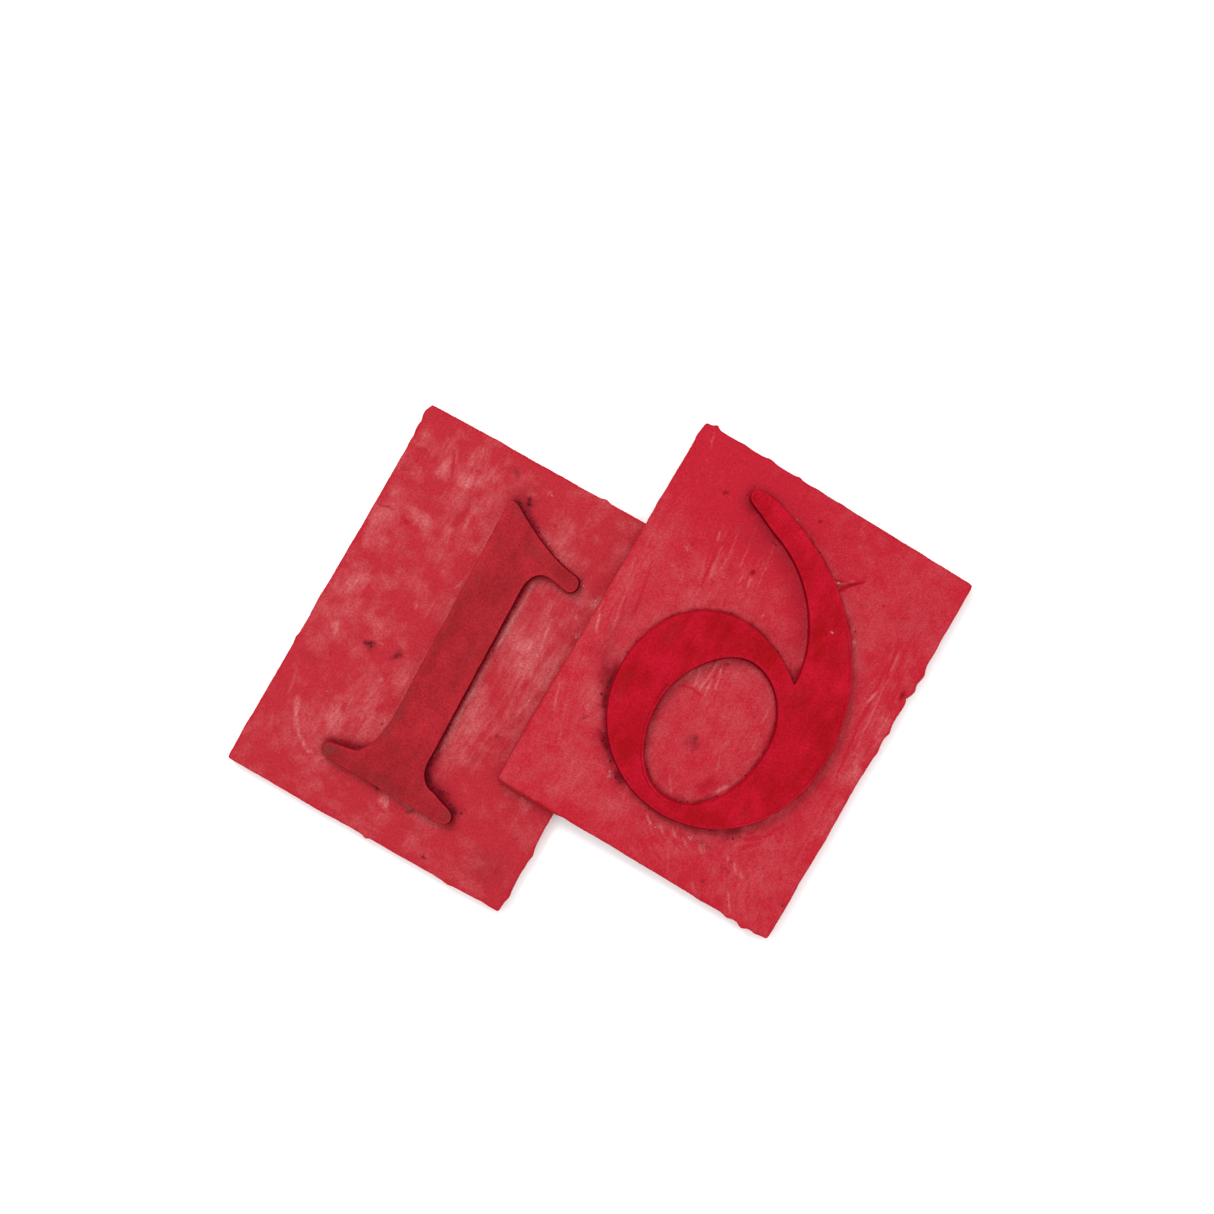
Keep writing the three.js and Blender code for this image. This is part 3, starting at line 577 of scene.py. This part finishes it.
def edge_wander(die, place, side, seed):
    """How far a cut edge stands out from straight, at each place along it."""
    slow = SLOW_WANDER * (rough_noise(place, 7.0 * seed, 3.2, seed) - 0.5)
    fine = FINE_WANDER * (rough_noise(place, 3.0 * seed, 0.7, seed + 5) - 0.5)
    total = slow + fine
    for where, centre, height, reach in NUBS[die.name]:
        if where == side:
            total += height * np.exp(-(((place - centre) / reach) ** 2))
    return total


def plate_grid(die, seed):
    """Places of the plate's top, row by row, with ragged cut edges and rounded corners."""
    c = plate_corners(die)
    width, height = np.hypot(*(c[1] - c[0])), np.hypot(*(c[3] - c[0]))
    across, along = int(width / GRID_STEP), int(height / GRID_STEP)
    across += across % 2
    along += along % 2
    s, t = np.meshgrid(np.linspace(0, 1, across + 1), np.linspace(0, 1, along + 1))
    base = [(1 - s) * (1 - t), s * (1 - t), s * t, (1 - s) * t]
    x, y = (sum(w * p[k] for w, p in zip(base, c)) for k in (0, 1))
    away = {"left": s * width, "right": (1 - s) * width, "bottom": t * height, "top": (1 - t) * height}

    def wander(side, place, number):
        return edge_wander(die, place, side, seed + number) * np.exp(-((away[side] / EDGE_REACH) ** 2))

    dx = wander("right", y, 1) - wander("left", y, 2)
    dy = wander("top", x, 3) - wander("bottom", x, 4)
    for side_x, away_x in ((1, away["left"]), (-1, away["right"])):
        for side_y, away_y in ((1, away["bottom"]), (-1, away["top"])):
            reach = away_x + away_y
            pull = (np.sqrt(reach**2 + CORNER_ROUND**2) - reach) / 2
            pull = pull * np.exp(-((reach / CORNER_REACH) ** 2))
            dx += side_x * pull
            dy += side_y * pull
    edge = np.minimum.reduce(list(away.values()))
    return x + dx, y + dy, edge


# The corners of an underside cell and the places between them, clockwise from above.
CELL_WALK = ((0, 0), (1, 0), (2, 0), (2, 1), (2, 2), (1, 2), (0, 2), (0, 1))


def perimeter(rows, columns):
    """Grid places round the edge of a grid, anticlockwise from the lower left."""
    bottom = [(0, i) for i in range(columns)]
    right = [(j, columns - 1) for j in range(1, rows)]
    top = [(rows - 1, i) for i in range(columns - 2, -1, -1)]
    left = [(j, 0) for j in range(rows - 2, 0, -1)]
    return bottom + right + top + left


def plate_top(die, x, y, edge, mottle, seed):
    """The top's places, and how pale, how grimy, how deep a red and how freshly cut each one is."""
    name = die.name
    distance = die.foot_distance(x, y)
    wx, wy = warped(x, y, seed + 20)
    sx, sy = warped(x, y, seed + 30, 0.15, 1.2)
    pit = patches(sx, sy, PITS[name])
    lines = strokes(sx, sy, SCRATCHES[name])
    ridge = strokes(sx, sy, CREASE[name])
    nick = np.clip(1.4 * strokes(sx, sy, NICKS[name]) + 1.1 * pit, 0, 1)

    z = -LUMP_DEPTH * rough_noise(x, y, 9, seed + 40, 4) - GRAIN_DEPTH * rough_noise(x, y, 0.9, seed + 41)
    z = z - PIT_DEPTH * pit - SCRATCH_DEPTH * np.abs(lines)
    z = z + BRUSH_HEIGHT * brushed(x, y, BRUSHED[name], seed + 57)
    z = z - LIP_DEPTH * np.exp(-edge / LIP_REACH) * rough_noise(x, y, 0.8, seed + 42)
    z = z + ridge - NICK_DEPTH * nick + FILLET_HEIGHT * np.exp(-distance / FILLET_REACH)

    # Dirt packed against the numeral, with painted shade where the floor meets its foot, keeps to the foot,
    # and hides the bloom there.
    beyond = np.maximum(distance - FOOT_CLEAR, 0) * (0.3 + 0.8 * rough_noise(x, y, 1.1, seed + 55))
    foot_dirt_and_shade = foot_marks(x, y, beyond, FOOT[name])
    speckled = np.clip(2.6 * (rough_noise(x, y, 0.8, seed + 56) - 0.36), 0, 1)
    grime = patches(wx, wy, DIRT[name]) * (0.5 + rough_noise(x, y, 0.7, seed + 54))
    grime = np.maximum(grime, np.clip(1.7 * foot_dirt_and_shade - 0.75, 0, 1) * speckled)
    deep = np.clip(0.3 * pit**3 + 0.95 * foot_dirt_and_shade, 0, 1)
    deep = np.clip(deep + 0.22 * nick, 0, 1)

    # The bloom is broken up by streaks along the die and by clouds.
    streaky = rough_noise(x * 3.2, y * 0.45, 1.5, seed + 50)
    cloudy = rough_noise(x, y, 5, seed + 52, 4)
    broken = np.clip(0.25 + 2.2 * (0.6 * streaky + 0.4 * cloudy - 0.2), 0.1, 2)
    pale = 0.68 * patches(wx, wy, BLOOM[name]) * broken + lines
    pale = pale + 0.45 * brushed(sx, sy, BRUSHED[name], seed + 57) + patches(x, y, HAZE[name])
    pale = pale + mottle * (cloudy - 0.5) + mottle * (rough_noise(x, y, 1.8, seed + 53, 4) - 0.5)
    pale = pale + 0.1 * np.exp(-((distance / FOOT_HALO) ** 2))
    # The crease's ridge is painted paler as a highlight.
    pale = pale * (1 - np.clip(foot_dirt_and_shade, 0, 0.85)) * (1 - nick) + 0.5 * ridge
    cuts = np.maximum(edge_wear(edge, x, y, seed), nick)
    return np.column_stack([x, y, z]), pale, grime, deep, cuts


def plate_side(die, x, y, pale, share, seed):
    """One row of the cut sides, a share of the way down, in the same form as the top."""
    normal = outward(np.column_stack([x, y]))
    run = np.concatenate([[0], np.cumsum(np.hypot(np.diff(x), np.diff(y)))])
    ridges = WALL_RIDGES * (rough_noise(run * 2 + 0.5 * share, share * 0.8, 1.1, seed + 60) - 0.5)
    lean = WALL_LEAN * share * (rough_noise(run, 0, 14, seed + 61) - 0.3)
    out = (ridges + lean) * min(1, 2 * share) + cut_slope(x, y, normal, SLOPES[die.name]) * share
    places = np.column_stack([x + normal[:, 0] * out, y + normal[:, 1] * out])
    places = np.column_stack([places, np.full_like(run, -die.thickness * share)])
    pale = pale * (1 - 0.5 * share) + 0.1 * rough_noise(run, share * 3, 0.6, seed + 62)
    grime = 0.25 * rough_noise(run, share, 2, seed + 63) ** 2
    return places, pale, grime, np.zeros_like(run), np.ones_like(run)


def plate_back(die, x, y, edge, seed):
    """The underside's inner places, in the same form as the top."""
    places = np.column_stack([x, y, HOLLOW_DEPTH * rough_noise(x, y, 8, seed + 70) * np.clip(edge / 3, 0, 1)])
    places[:, 2] = -die.thickness + places[:, 2]
    pale = 0.1 + 0.25 * rough_noise(x, y, 6, seed + 71, 4) ** 2
    grime = 0.3 * rough_noise(x, y, 4, seed + 72, 4) ** 3
    return places, pale, grime, np.zeros_like(x), np.full_like(x, -1)


def plate(die, mottle, seed, material):
    """The worn plate. Gives the places of its top."""
    x, y, edge = plate_grid(die, seed)
    rows, columns = x.shape
    top = plate_top(die, x.ravel(), y.ravel(), edge.ravel(), mottle, seed)
    layers = [top]
    faces = quads(np.arange(rows * columns).reshape(rows, columns))

    ring = perimeter(rows, columns)
    count = len(ring)
    upper = ring_at = np.array([j * columns + i for j, i in ring])
    for row in range(WALL_ROWS):
        share = (row + 1) / WALL_ROWS
        layers.append(plate_side(die, *top[0][ring_at, :2].T, top[1][ring_at], share, seed))
        lower = rows * columns + row * count + np.arange(count)
        faces += band(lower, upper)
        upper = lower

    # The underside has half as many rows and columns, and its outer cells take in the extra wall corners.
    inner = [(j, i) for j in range(2, rows - 1, 2) for i in range(2, columns - 1, 2)]
    back_at = {place: int(upper[0]) + number for number, place in enumerate(ring + inner)}
    jj, ii = np.array(inner).T
    layers.append(plate_back(die, x[jj, ii], y[jj, ii], edge[jj, ii], seed))
    for j in range(0, rows - 1, 2):
        for i in range(0, columns - 1, 2):
            walk = [(j + down, i + over) for down, over in CELL_WALK]
            faces.append([back_at[place] for place in walk if place in back_at])

    places, *fields = (np.concatenate(part) for part in zip(*layers))
    attributes = dict(zip(("pale", "grime", "deep", "side"), fields))
    piece = make_object(die.name + "_plate_worn", places, faces, die, material, attributes)
    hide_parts(die.name + "_plate")
    return top[0]


def edge_wear(edge, x, y, seed):
    """How much of the cut's torn lip shows on the plate's top, close to its edges."""
    ragged = edge * (0.6 + 0.9 * rough_noise(x, y, 0.8, seed + 43))
    return 0.8 * np.exp(-((ragged / TORN_LIP) ** 2))


def cut_slope(x, y, normal, slopes):
    """How far each place of the plate's edge slopes out from top to bottom."""
    facing = {"left": -normal[:, 0], "right": normal[:, 0], "bottom": -normal[:, 1], "top": normal[:, 1]}
    total = np.zeros_like(x)
    for side, centre, out, reach in slopes:
        place = y if side in ("left", "right") else x
        total += out * (facing[side] > 0.7) * np.exp(-(((place - centre) / reach) ** 4))
    return total


def quads(grid):
    """The faces between neighbouring rows and columns of corner numbers."""
    a, b, c, d = grid[:-1, :-1], grid[:-1, 1:], grid[1:, 1:], grid[1:, :-1]
    return np.stack([a, b, c, d], -1).reshape(-1, 4).tolist()


def band(low, high):
    """The faces between two closed rings of corner numbers, one above the other."""
    return np.column_stack([low, np.roll(low, -1), np.roll(high, -1), high]).tolist()


def inside(points, loops):
    """Which points lie in the material between the outlines."""
    result = np.zeros(len(points), bool)
    x, y = points.T
    for loop in loops:
        for (x0, y0), (x1, y1) in zip(loop, np.roll(loop, -1, 0)):
            if y0 == y1:
                continue
            crosses = (y0 > y) != (y1 > y)
            result ^= crosses & (x < (x1 - x0) * (y - y0) / (y1 - y0) + x0)
    return result


def filled(loops, step, seed):
    """The points and triangles that fill the space between outlines, with extra points inside."""
    rim = np.vstack(loops)
    edges, first = [], 0
    for loop in loops:
        edges += [(first + k, first + (k + 1) % len(loop)) for k in range(len(loop))]
        first += len(loop)
    extra = np.zeros((0, 2))
    if step:
        low, high = rim.min(0), rim.max(0)
        gx, gy = np.meshgrid(np.arange(low[0], high[0], step), np.arange(low[1], high[1], step * 0.87))
        gx[1::2] += step / 2
        jitter = np.random.default_rng(seed).uniform(-0.12, 0.12, (2, *gx.shape)) * step
        extra = np.column_stack([(gx + jitter[0]).ravel(), (gy + jitter[1]).ravel()])
        extra = extra[inside(extra, loops)]
        near = np.full(len(extra), 1e9)
        for point in rim:
            near = np.minimum(near, np.hypot(*(extra - point).T))
        extra = extra[near > 0.55 * step]
    points = np.vstack([rim, extra])
    made = geometry.delaunay_2d_cdt([Vector(p) for p in points], edges, [], 0, 1e-7)
    places, triangles = np.array([list(v) for v in made[0]]), np.array(made[2])
    middles = places[triangles].mean(1)
    return places, triangles[inside(middles, loops)]


def line_strength(loop, marks):
    """How strongly the numeral's edge shows a second line, each mark (x, y, reach, strength)."""
    total = np.zeros(len(loop))
    for x, y, reach, strength in marks:
        total = np.maximum(total, strength * np.exp(-((np.hypot(*(loop - (x, y)).T) / reach) ** 4)))
    return total


def numeral_profile(height):
    """The numeral's edge from its foot up to its face: (how far out, how high, how much is wall)."""
    profile = [(0, -FOOT_SINK, 1), (WALL_DRAFT + FOOT_FLARE, -0.08, 1), (WALL_DRAFT + 0.02, 0.03, 1)]
    profile += [(WALL_DRAFT * 0.6, height * 0.4, 1), (WALL_DRAFT * 0.25, height * 0.72, 1)]
    for step in range(SHOULDER_STEPS):
        turn = step / SHOULDER_STEPS * math.pi / 2
        inset, drop = SHOULDER * (1 - math.cos(turn)), SHOULDER * (1 - math.sin(turn))
        profile.append((-inset, height - drop, 1 - step / (SHOULDER_STEPS - 1)))
    return profile + [(-inset, height, 0) for inset in (FACE_INSET, LINE_INSET, LINE_INSET + LINE_REACH)]


def numeral(die, lit_side, seed, material):
    """The raised numeral: a flared foot, drafted walls, a rounded shoulder and a worn printing face."""
    height = die.relief
    profile = numeral_profile(height)
    line_ring = len(profile) - 2
    verts, wall, line, rings, faces = [], [], [], [], []
    first = 0
    for loop in die.loops:
        normal = outward(loop)
        # Painted shade: a wall gets more of the dark wall colour the further it faces away from the lit side.
        facing = np.clip(0.5 - 0.9 * (normal @ np.array(lit_side)), 0.12, 1)
        ragged = np.clip(2.4 * rough_noise(*loop.T, 1.6, seed + 8) - 0.5, 0.2, 1)
        edge_line = line_strength(loop, LINES[die.name]) * ragged
        own = []
        for ring, (offset, z, share) in enumerate(profile):
            uneven = WALL_UNEVEN * (rough_noise(loop[:, 0] + z, loop[:, 1] - z, 1.3, seed) - 0.5)
            place = loop + normal * (offset + uneven)[:, None]
            verts.append(np.column_stack([place, np.full(len(loop), z)]))
            wall.append(share * facing)
            line.append(edge_line * (ring == line_ring))
            own.append(first + np.arange(len(loop)))
            first += len(loop)
        rings.append(own)
        for low, high in zip(own, own[1:]):
            faces += band(low, high)

    stacked = np.vstack(verts)
    top_at, foot_at = (np.concatenate([own[end] for own in rings]) for end in (-1, 0))
    places, triangles = filled([stacked[own[-1], :2] for own in rings], FACE_STEP, seed)
    extra = places[len(top_at) :]
    lookup = np.concatenate([top_at, first + np.arange(len(extra))])
    faces += [lookup[oriented(places, t, True)].tolist() for t in triangles]
    places, triangles = filled([stacked[own[0], :2] for own in rings], 0, seed)
    faces += [foot_at[oriented(places, t, False)].tolist() for t in triangles]

    verts = np.vstack([stacked, np.column_stack([extra, np.full(len(extra), height)])])
    wall, line = (np.concatenate([*values, np.zeros(len(extra))]) for values in (wall, line))
    x, y = verts[:, 0], verts[:, 1]
    worn = FACE_WEAR * rough_noise(x, y, 3, seed + 1, 4) + FACE_GRAIN * rough_noise(x, y, 0.7, seed + 2)
    verts[:, 2] -= (verts[:, 2] > height - 0.01) * worn
    wx, wy = warped(x, y, seed + 3, 0.7, 1.5)
    tone = patches(wx, wy, FACE[die.name]) + 1.2 * (rough_noise(x * 1.4, y * 0.6, 1.4, seed + 4, 4) - 0.5)
    tone = tone + 2 * (rough_noise(x, y, 4.5, seed + 7, 4) - 0.5)
    rim = np.exp(-((die.foot_distance(x, y) / RIM_REACH) ** 2)) * (verts[:, 2] > height - 0.2)
    rim = rim * (0.4 + rough_noise(x, y, 1.5, seed + 6))
    soil = patches(wx, wy, SOIL[die.name]) * np.clip(2.4 * rough_noise(x, y, 1.3, seed + 9) - 0.5, 0, 1.6)
    attributes = {"wall": wall, "line": line, "tone": tone, "soil": soil, "rim": rim}
    piece = make_object(die.name + "_numeral_worn", verts, faces, die, material, attributes, smooth_angle=60)
    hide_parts(die.name + "_numeral")


def oriented(places, triangle, up):
    """The triangle's corners in the order that makes it face up, or down."""
    a, b, c = places[triangle]
    faces_up = (b - a)[0] * (c - a)[1] - (b - a)[1] * (c - a)[0] > 0
    return triangle if faces_up == up else triangle[::-1]


BALL_RINGS, BALL_SIDES = 4, 7


def crumb_shape(x, y, z, size, rng):
    """A small closed lump, squashed and uneven."""
    squash = rng.uniform(0.35, 0.6)
    stretch, facing = rng.uniform(1.0, 1.7), rng.uniform(0, math.pi)
    verts = [(x, y, z + size * squash)]
    for ring in range(1, BALL_RINGS):
        tilt = math.pi * ring / BALL_RINGS
        for side in range(BALL_SIDES):
            turn = 2 * math.pi * (side + 0.5 * (ring % 2)) / BALL_SIDES
            r = size * rng.uniform(0.7, 1.15)
            u = r * math.sin(tilt) * math.cos(turn) * stretch
            v = r * math.sin(tilt) * math.sin(turn) / stretch
            across = x + u * math.cos(facing) - v * math.sin(facing)
            along = y + u * math.sin(facing) + v * math.cos(facing)
            verts.append((across, along, z + size * squash * math.cos(tilt)))
    verts.append((x, y, z - size * squash))
    last = len(verts) - 1
    faces = []
    for side in range(BALL_SIDES):
        after = (side + 1) % BALL_SIDES
        faces.append((0, 1 + side, 1 + after))
        for ring in range(BALL_RINGS - 2):
            a = 1 + ring * BALL_SIDES
            b = a + BALL_SIDES
            faces.append((a + side, b + side, b + after, a + after))
        a = 1 + (BALL_RINGS - 2) * BALL_SIDES
        faces.append((a + side, last, a + after))
    return verts, faces


def crumbs(die, count, surface, seed, material):
    """One mesh of the listed crumbs, and of many tiny ones where the dirt and painted shade along the
    numeral's foot are strongest.
    """
    rng = np.random.default_rng(seed)
    foot = FOOT[die.name]
    lumps = [(x, y, size * (0.36 + 0.14 * pale), pale) for x, y, size, pale in CRUMBS[die.name]]
    weights = np.array([mark[4] ** 2 * mark[2] for mark in foot])
    outline = np.vstack(die.loops)
    normals = np.vstack([outward(loop) for loop in die.loops])
    for mark in rng.choice(len(foot), count, p=weights / weights.sum()):
        cx, cy, reach, width, _ = foot[mark]
        near = np.flatnonzero(np.hypot(outline[:, 0] - cx, outline[:, 1] - cy) < reach)
        if not len(near):
            continue
        spot = rng.choice(near)
        x, y = outline[spot] + normals[spot] * (0.2 + abs(rng.normal(0.0, 0.5 * width)))
        lumps.append((x, y, rng.uniform(0.06, 0.17), rng.choice([0.0, 0.12, 0.5], p=[0.65, 0.25, 0.1])))
    verts, faces, pale = [], [], []
    for x, y, size, paleness in lumps:
        ground = surface[np.argmin((surface[:, 0] - x) ** 2 + (surface[:, 1] - y) ** 2), 2]
        if inside(np.array([(x, y)]), die.loops)[0]:
            ground = die.relief
        shape, sides = crumb_shape(x, y, ground + 0.2 * size, size, rng)
        faces += [tuple(len(verts) + k for k in side) for side in sides]
        verts += shape
        pale += [paleness] * len(shape)
    name = die.name + "_crumbs"
    piece = make_object(name, np.array(verts), faces, die, material, {"pale": pale}, smooth_angle=40)


# ---------------------------------------------------------------- materials


class Nodes:
    """A short way to write a material's node tree."""

    def __init__(self, name):
        self.material = bpy.data.materials.new(name)
        self.material.use_nodes = True
        self.tree = self.material.node_tree
        self.tree.nodes.clear()
        self.shader = self.add("ShaderNodeBsdfPrincipled")
        self.link(self.shader.outputs[0], self.add("ShaderNodeOutputMaterial").inputs[0])
        self.place = self.add("ShaderNodeTexCoord").outputs["Object"]

    def add(self, kind, **settings):
        node = self.tree.nodes.new(kind)
        for key, value in settings.items():
            setattr(node, key, value)
        return node

    def link(self, output, socket):
        self.tree.links.new(output, socket)

    def feed(self, value, socket):
        if isinstance(value, (int, float, tuple)):
            socket.default_value = value
        else:
            self.link(value, socket)

    def attribute(self, name):
        return self.add("ShaderNodeAttribute", attribute_name=name).outputs["Fac"]

    def math(self, operation, a, b, clamp=False):
        node = self.add("ShaderNodeMath", operation=operation, use_clamp=clamp)
        self.feed(a, node.inputs[0])
        self.feed(b, node.inputs[1])
        return node.outputs[0]

    def plus(self, a, b, clamp=False):
        return self.math("ADD", a, b, clamp)

    def minus(self, a, b):
        return self.math("SUBTRACT", a, b)

    def times(self, a, b, clamp=False):
        return self.math("MULTIPLY", a, b, clamp)

    def mix(self, share, a, b):
        node = self.add("ShaderNodeMix", data_type="RGBA", clamp_factor=True)
        self.feed(share, node.inputs[0])
        self.feed(a, node.inputs[6])
        self.feed(b, node.inputs[7])
        return node.outputs[2]

    def noise(self, size, detail=3.0, stretch=(1, 1, 1), roughness=0.55):
        """Noise with lumps about `size` millimetres across, longer along an axis with a small stretch."""
        mapping = self.add("ShaderNodeMapping")
        self.link(self.place, mapping.inputs[0])
        mapping.inputs["Scale"].default_value = [s / (size * MM) for s in stretch]
        node = self.add("ShaderNodeTexNoise")
        self.link(mapping.outputs[0], node.inputs["Vector"])
        node.inputs["Scale"].default_value = 1.0
        node.inputs["Detail"].default_value = detail
        node.inputs["Roughness"].default_value = roughness
        return node.outputs["Fac"]

    def finish(self, base, rough, specular, normal):
        """Feeds the shader, and gives the material."""
        self.feed(base, self.shader.inputs["Base Color"])
        self.feed(rough, self.shader.inputs["Roughness"])
        self.shader.inputs["Specular IOR Level"].default_value = specular
        if normal:
            self.link(normal, self.shader.inputs["Normal"])
        return self.material

    def spread(self, value, low, high):
        """The value stretched so that low to high fills 0 to 1."""
        node = self.add("ShaderNodeMapRange", clamp=True)
        self.feed(value, node.inputs[0])
        node.inputs[1].default_value = low
        node.inputs[2].default_value = high
        return node.outputs[0]

    def bump(self, height, distance, normal=None):
        node = self.add("ShaderNodeBump")
        node.inputs["Strength"].default_value = 1
        node.inputs["Distance"].default_value = distance * MM
        self.link(height, node.inputs["Height"])
        if normal:
            self.link(normal, node.inputs["Normal"])
        return node.outputs[0]


def colour(red, green, blue):
    return (red, green, blue, 1.0)


PLATE_SPECULAR = 0.05
NUMERAL_SPECULAR = 0.03
CRUMB_SPECULAR = 0.04
ONE_RED = colour(0.362, 0.0185, 0.028)
SIX_RED = colour(0.390, 0.0115, 0.024)
ONE_FACE = colour(0.210, 0.007, 0.011)
ONE_PALE_FACE = colour(0.360, 0.014, 0.023)
# ONE_WALL and SIX_WALL paint the numerals' walls dark with dirt and painted shade, and also draw the second
# line inside each face.
ONE_WALL = colour(0.085, 0, 0.004)
SIX_FACE = colour(0.262, 0, 0.002)
SIX_PALE_FACE = colour(0.430, 0.003, 0.019)
SIX_WALL = colour(0.11, 0, 0.005)
PALE = colour(0.57, 0.20, 0.20)
DEEP = colour(0.125, 0.0, 0.006)
GRIME = colour(0.036, 0.004, 0.006)
BROWN = colour(0.10, 0.022, 0.020)
CUT = colour(0.36, 0.004, 0.014)
SHADE = colour(0.15, 0.002, 0.006)
CRUMB = colour(0.050, 0.003, 0.006)
PALE_CRUMB = colour(0.46, 0.17, 0.165)
CRUMB_SHADE = colour(0.16, 0.01, 0.014)


def plate_rubber(name, red):
    """Matte red rubber, with a pale bloom that fine noise breaks up, and brown dirt where it collects."""
    n = Nodes(name)
    fine = n.noise(0.35, 4.0)
    streak = n.noise(0.5, 4.0, (1.0, 0.22, 1.0))
    cloud = n.noise(2.6, 5.0)
    bloom = n.attribute("pale")
    broken = n.plus(0.2, n.times(0.8, n.spread(fine, 0.3, 0.7)))
    broken = n.plus(broken, n.times(0.8, n.spread(streak, 0.3, 0.7)))
    bloom = n.times(bloom, broken)
    speck = n.spread(n.noise(0.24, 2.0), 0.3, 0.7)
    bloom = n.plus(bloom, n.times(0.2, n.minus(cloud, 0.5)))
    bloom = n.plus(bloom, n.times(0.11, n.minus(speck, 0.45)), clamp=True)
    base = n.mix(bloom, red, PALE)
    base = n.mix(n.spread(n.attribute("side"), 0.0, 1.0), base, n.mix(n.times(bloom, 0.6), CUT, PALE))
    # DEEP also paints the shade, along with the dirt, at the numeral's foot.
    base = n.mix(n.attribute("deep"), base, DEEP)
    dirt = n.times(n.attribute("grime"), n.plus(0.55, n.times(0.9, fine)), clamp=True)
    base = n.mix(dirt, base, GRIME)
    grain = n.spread(n.noise(0.28, 3.0), 0.32, 0.68)
    base = n.mix(n.times(0.42, grain), base, SHADE)
    rough = n.plus(0.6, n.times(0.2, n.noise(1.4, 4.0)))
    height = n.plus(n.times(0.6, n.noise(0.3, 4.0)), n.times(0.5, streak))
    normal = n.bump(height, 0.035)
    normal = n.bump(n.noise(1.6, 3.0), 0.05, normal)
    return n.finish(base, rough, PLATE_SPECULAR, normal)


def numeral_rubber(name, face, pale_face, wall_colour, specks):
    """The printing face: smoother and more saturated than the plate, with dark walls of dirt and painted
    shade.
    """
    n = Nodes(name)
    fine = n.noise(0.3, 4.0)
    streak = n.noise(0.9, 4.0, (1.0, 0.3, 1.0))
    tone = n.plus(n.attribute("tone"), n.times(0.5, n.minus(streak, 0.5)))
    tone = n.plus(tone, n.times(0.2, n.attribute("rim")))
    tone = n.plus(tone, n.times(1.6, n.minus(n.noise(0.45, 3.0), 0.5)))
    tone = n.plus(0.4, n.times(0.6, tone), clamp=True)
    base = n.mix(tone, face, pale_face)
    base = n.mix(n.attribute("soil"), base, BROWN)
    speck = n.spread(n.noise(0.24, 2.0), 0.35, 0.75)
    base = n.mix(n.times(specks, speck), base, PALE)
    grain = n.spread(n.noise(0.3, 3.0), 0.32, 0.68)
    base = n.mix(n.times(0.5, grain), base, SHADE)
    base = n.mix(n.times(0.9, n.attribute("line"), clamp=True), base, wall_colour)
    # The walls are painted dark: dirt, and painted shade that is strongest on the side away from the light.
    base = n.mix(n.times(n.attribute("wall"), n.plus(0.65, n.times(0.4, fine))), base, wall_colour)
    rough = n.plus(0.48, n.times(0.2, fine))
    normal = n.bump(n.noise(0.4, 4.0), 0.02)
    normal = n.bump(n.noise(2.2, 3.0), 0.04, normal)
    return n.finish(base, rough, NUMERAL_SPECULAR, normal)


def crumb_rubber():
    n = Nodes("rubber_crumbs")
    base = n.mix(n.attribute("pale"), CRUMB, PALE_CRUMB)
    base = n.mix(n.times(0.4, n.noise(0.12, 3.0)), base, CRUMB_SHADE)
    return n.finish(base, 0.8, CRUMB_SPECULAR, n.bump(n.noise(0.12, 3.0), 0.03))


# ---------------------------------------------------------------- the dies

one = Die("one", "one_die")
six = Die("six", "six_die")
one_plate_material = plate_rubber("one_plate_rubber", ONE_RED)
six_plate_material = plate_rubber("six_plate_rubber", SIX_RED)
one_face_material = numeral_rubber("one_numeral_rubber", ONE_FACE, ONE_PALE_FACE, ONE_WALL, specks=0.05)
six_face_material = numeral_rubber("six_numeral_rubber", SIX_FACE, SIX_PALE_FACE, SIX_WALL, specks=0.025)
crumb_material = crumb_rubber()

one_surface = plate(one, mottle=0.3, seed=100, material=one_plate_material)
six_surface = plate(six, mottle=0.13, seed=300, material=six_plate_material)
numeral(one, lit_side=(-0.9, -0.45), seed=500, material=one_face_material)
numeral(six, lit_side=(-0.1, 0.6), seed=600, material=six_face_material)
crumbs(one, count=85, surface=one_surface, seed=700, material=crumb_material)
crumbs(six, count=110, surface=six_surface, seed=800, material=crumb_material)


# ---------------------------------------------------------------- floor, light and camera

FLOOR_HALF = 1.5
SENSOR_WIDTH = 36
VIEW_ROLL = math.radians(30.2)
VIEW_HEIGHT = 0.300
VIEW_WIDTH = 0.18464
VIEW_AIM = (-0.0040, 0.00859, 0.0030)


def floor():
    h = FLOOR_HALF
    mesh = bpy.data.meshes.new("table")
    mesh.from_pydata([(-h, -h, 0), (h, -h, 0), (h, h, 0), (-h, h, 0)], [], [(0, 1, 2, 3)])
    n = Nodes("pale_table")
    mesh.materials.append(n.finish(colour(0.93, 0.93, 0.93), 0.9, 0, None))
    table = add_object("table", mesh)


def soft_light(name, place, size, power):
    data = bpy.data.lights.new(name, "AREA")
    data.shape = "DISK"
    data.size = size
    data.energy = power
    lamp = add_object(name, data)
    lamp.location = place
    lamp.rotation_euler = (Vector(VIEW_AIM) - Vector(place)).to_track_quat("-Z", "Y").to_euler()


def sky(strength):
    world = bpy.data.worlds.new("studio")
    world.use_nodes = True
    background = world.node_tree.nodes["Background"]
    background.inputs[0].default_value = (1, 1, 1, 1)
    background.inputs[1].default_value = strength
    bpy.context.scene.world = world


def camera():
    data = bpy.data.cameras.new("camera")
    data.sensor_width = SENSOR_WIDTH
    data.lens = SENSOR_WIDTH * VIEW_HEIGHT / VIEW_WIDTH
    data.clip_start = 0.01
    view = add_object("camera", data)
    view.location = Vector(VIEW_AIM) + Vector((0, 0, VIEW_HEIGHT))
    view.rotation_euler = (0, 0, VIEW_ROLL)
    bpy.context.scene.camera = view


floor()
sky(1.25)
soft_light("window", (-0.52, 0.32, 0.50), size=0.35, power=4.4)
camera()
bpy.context.scene.view_settings.view_transform = "Standard"
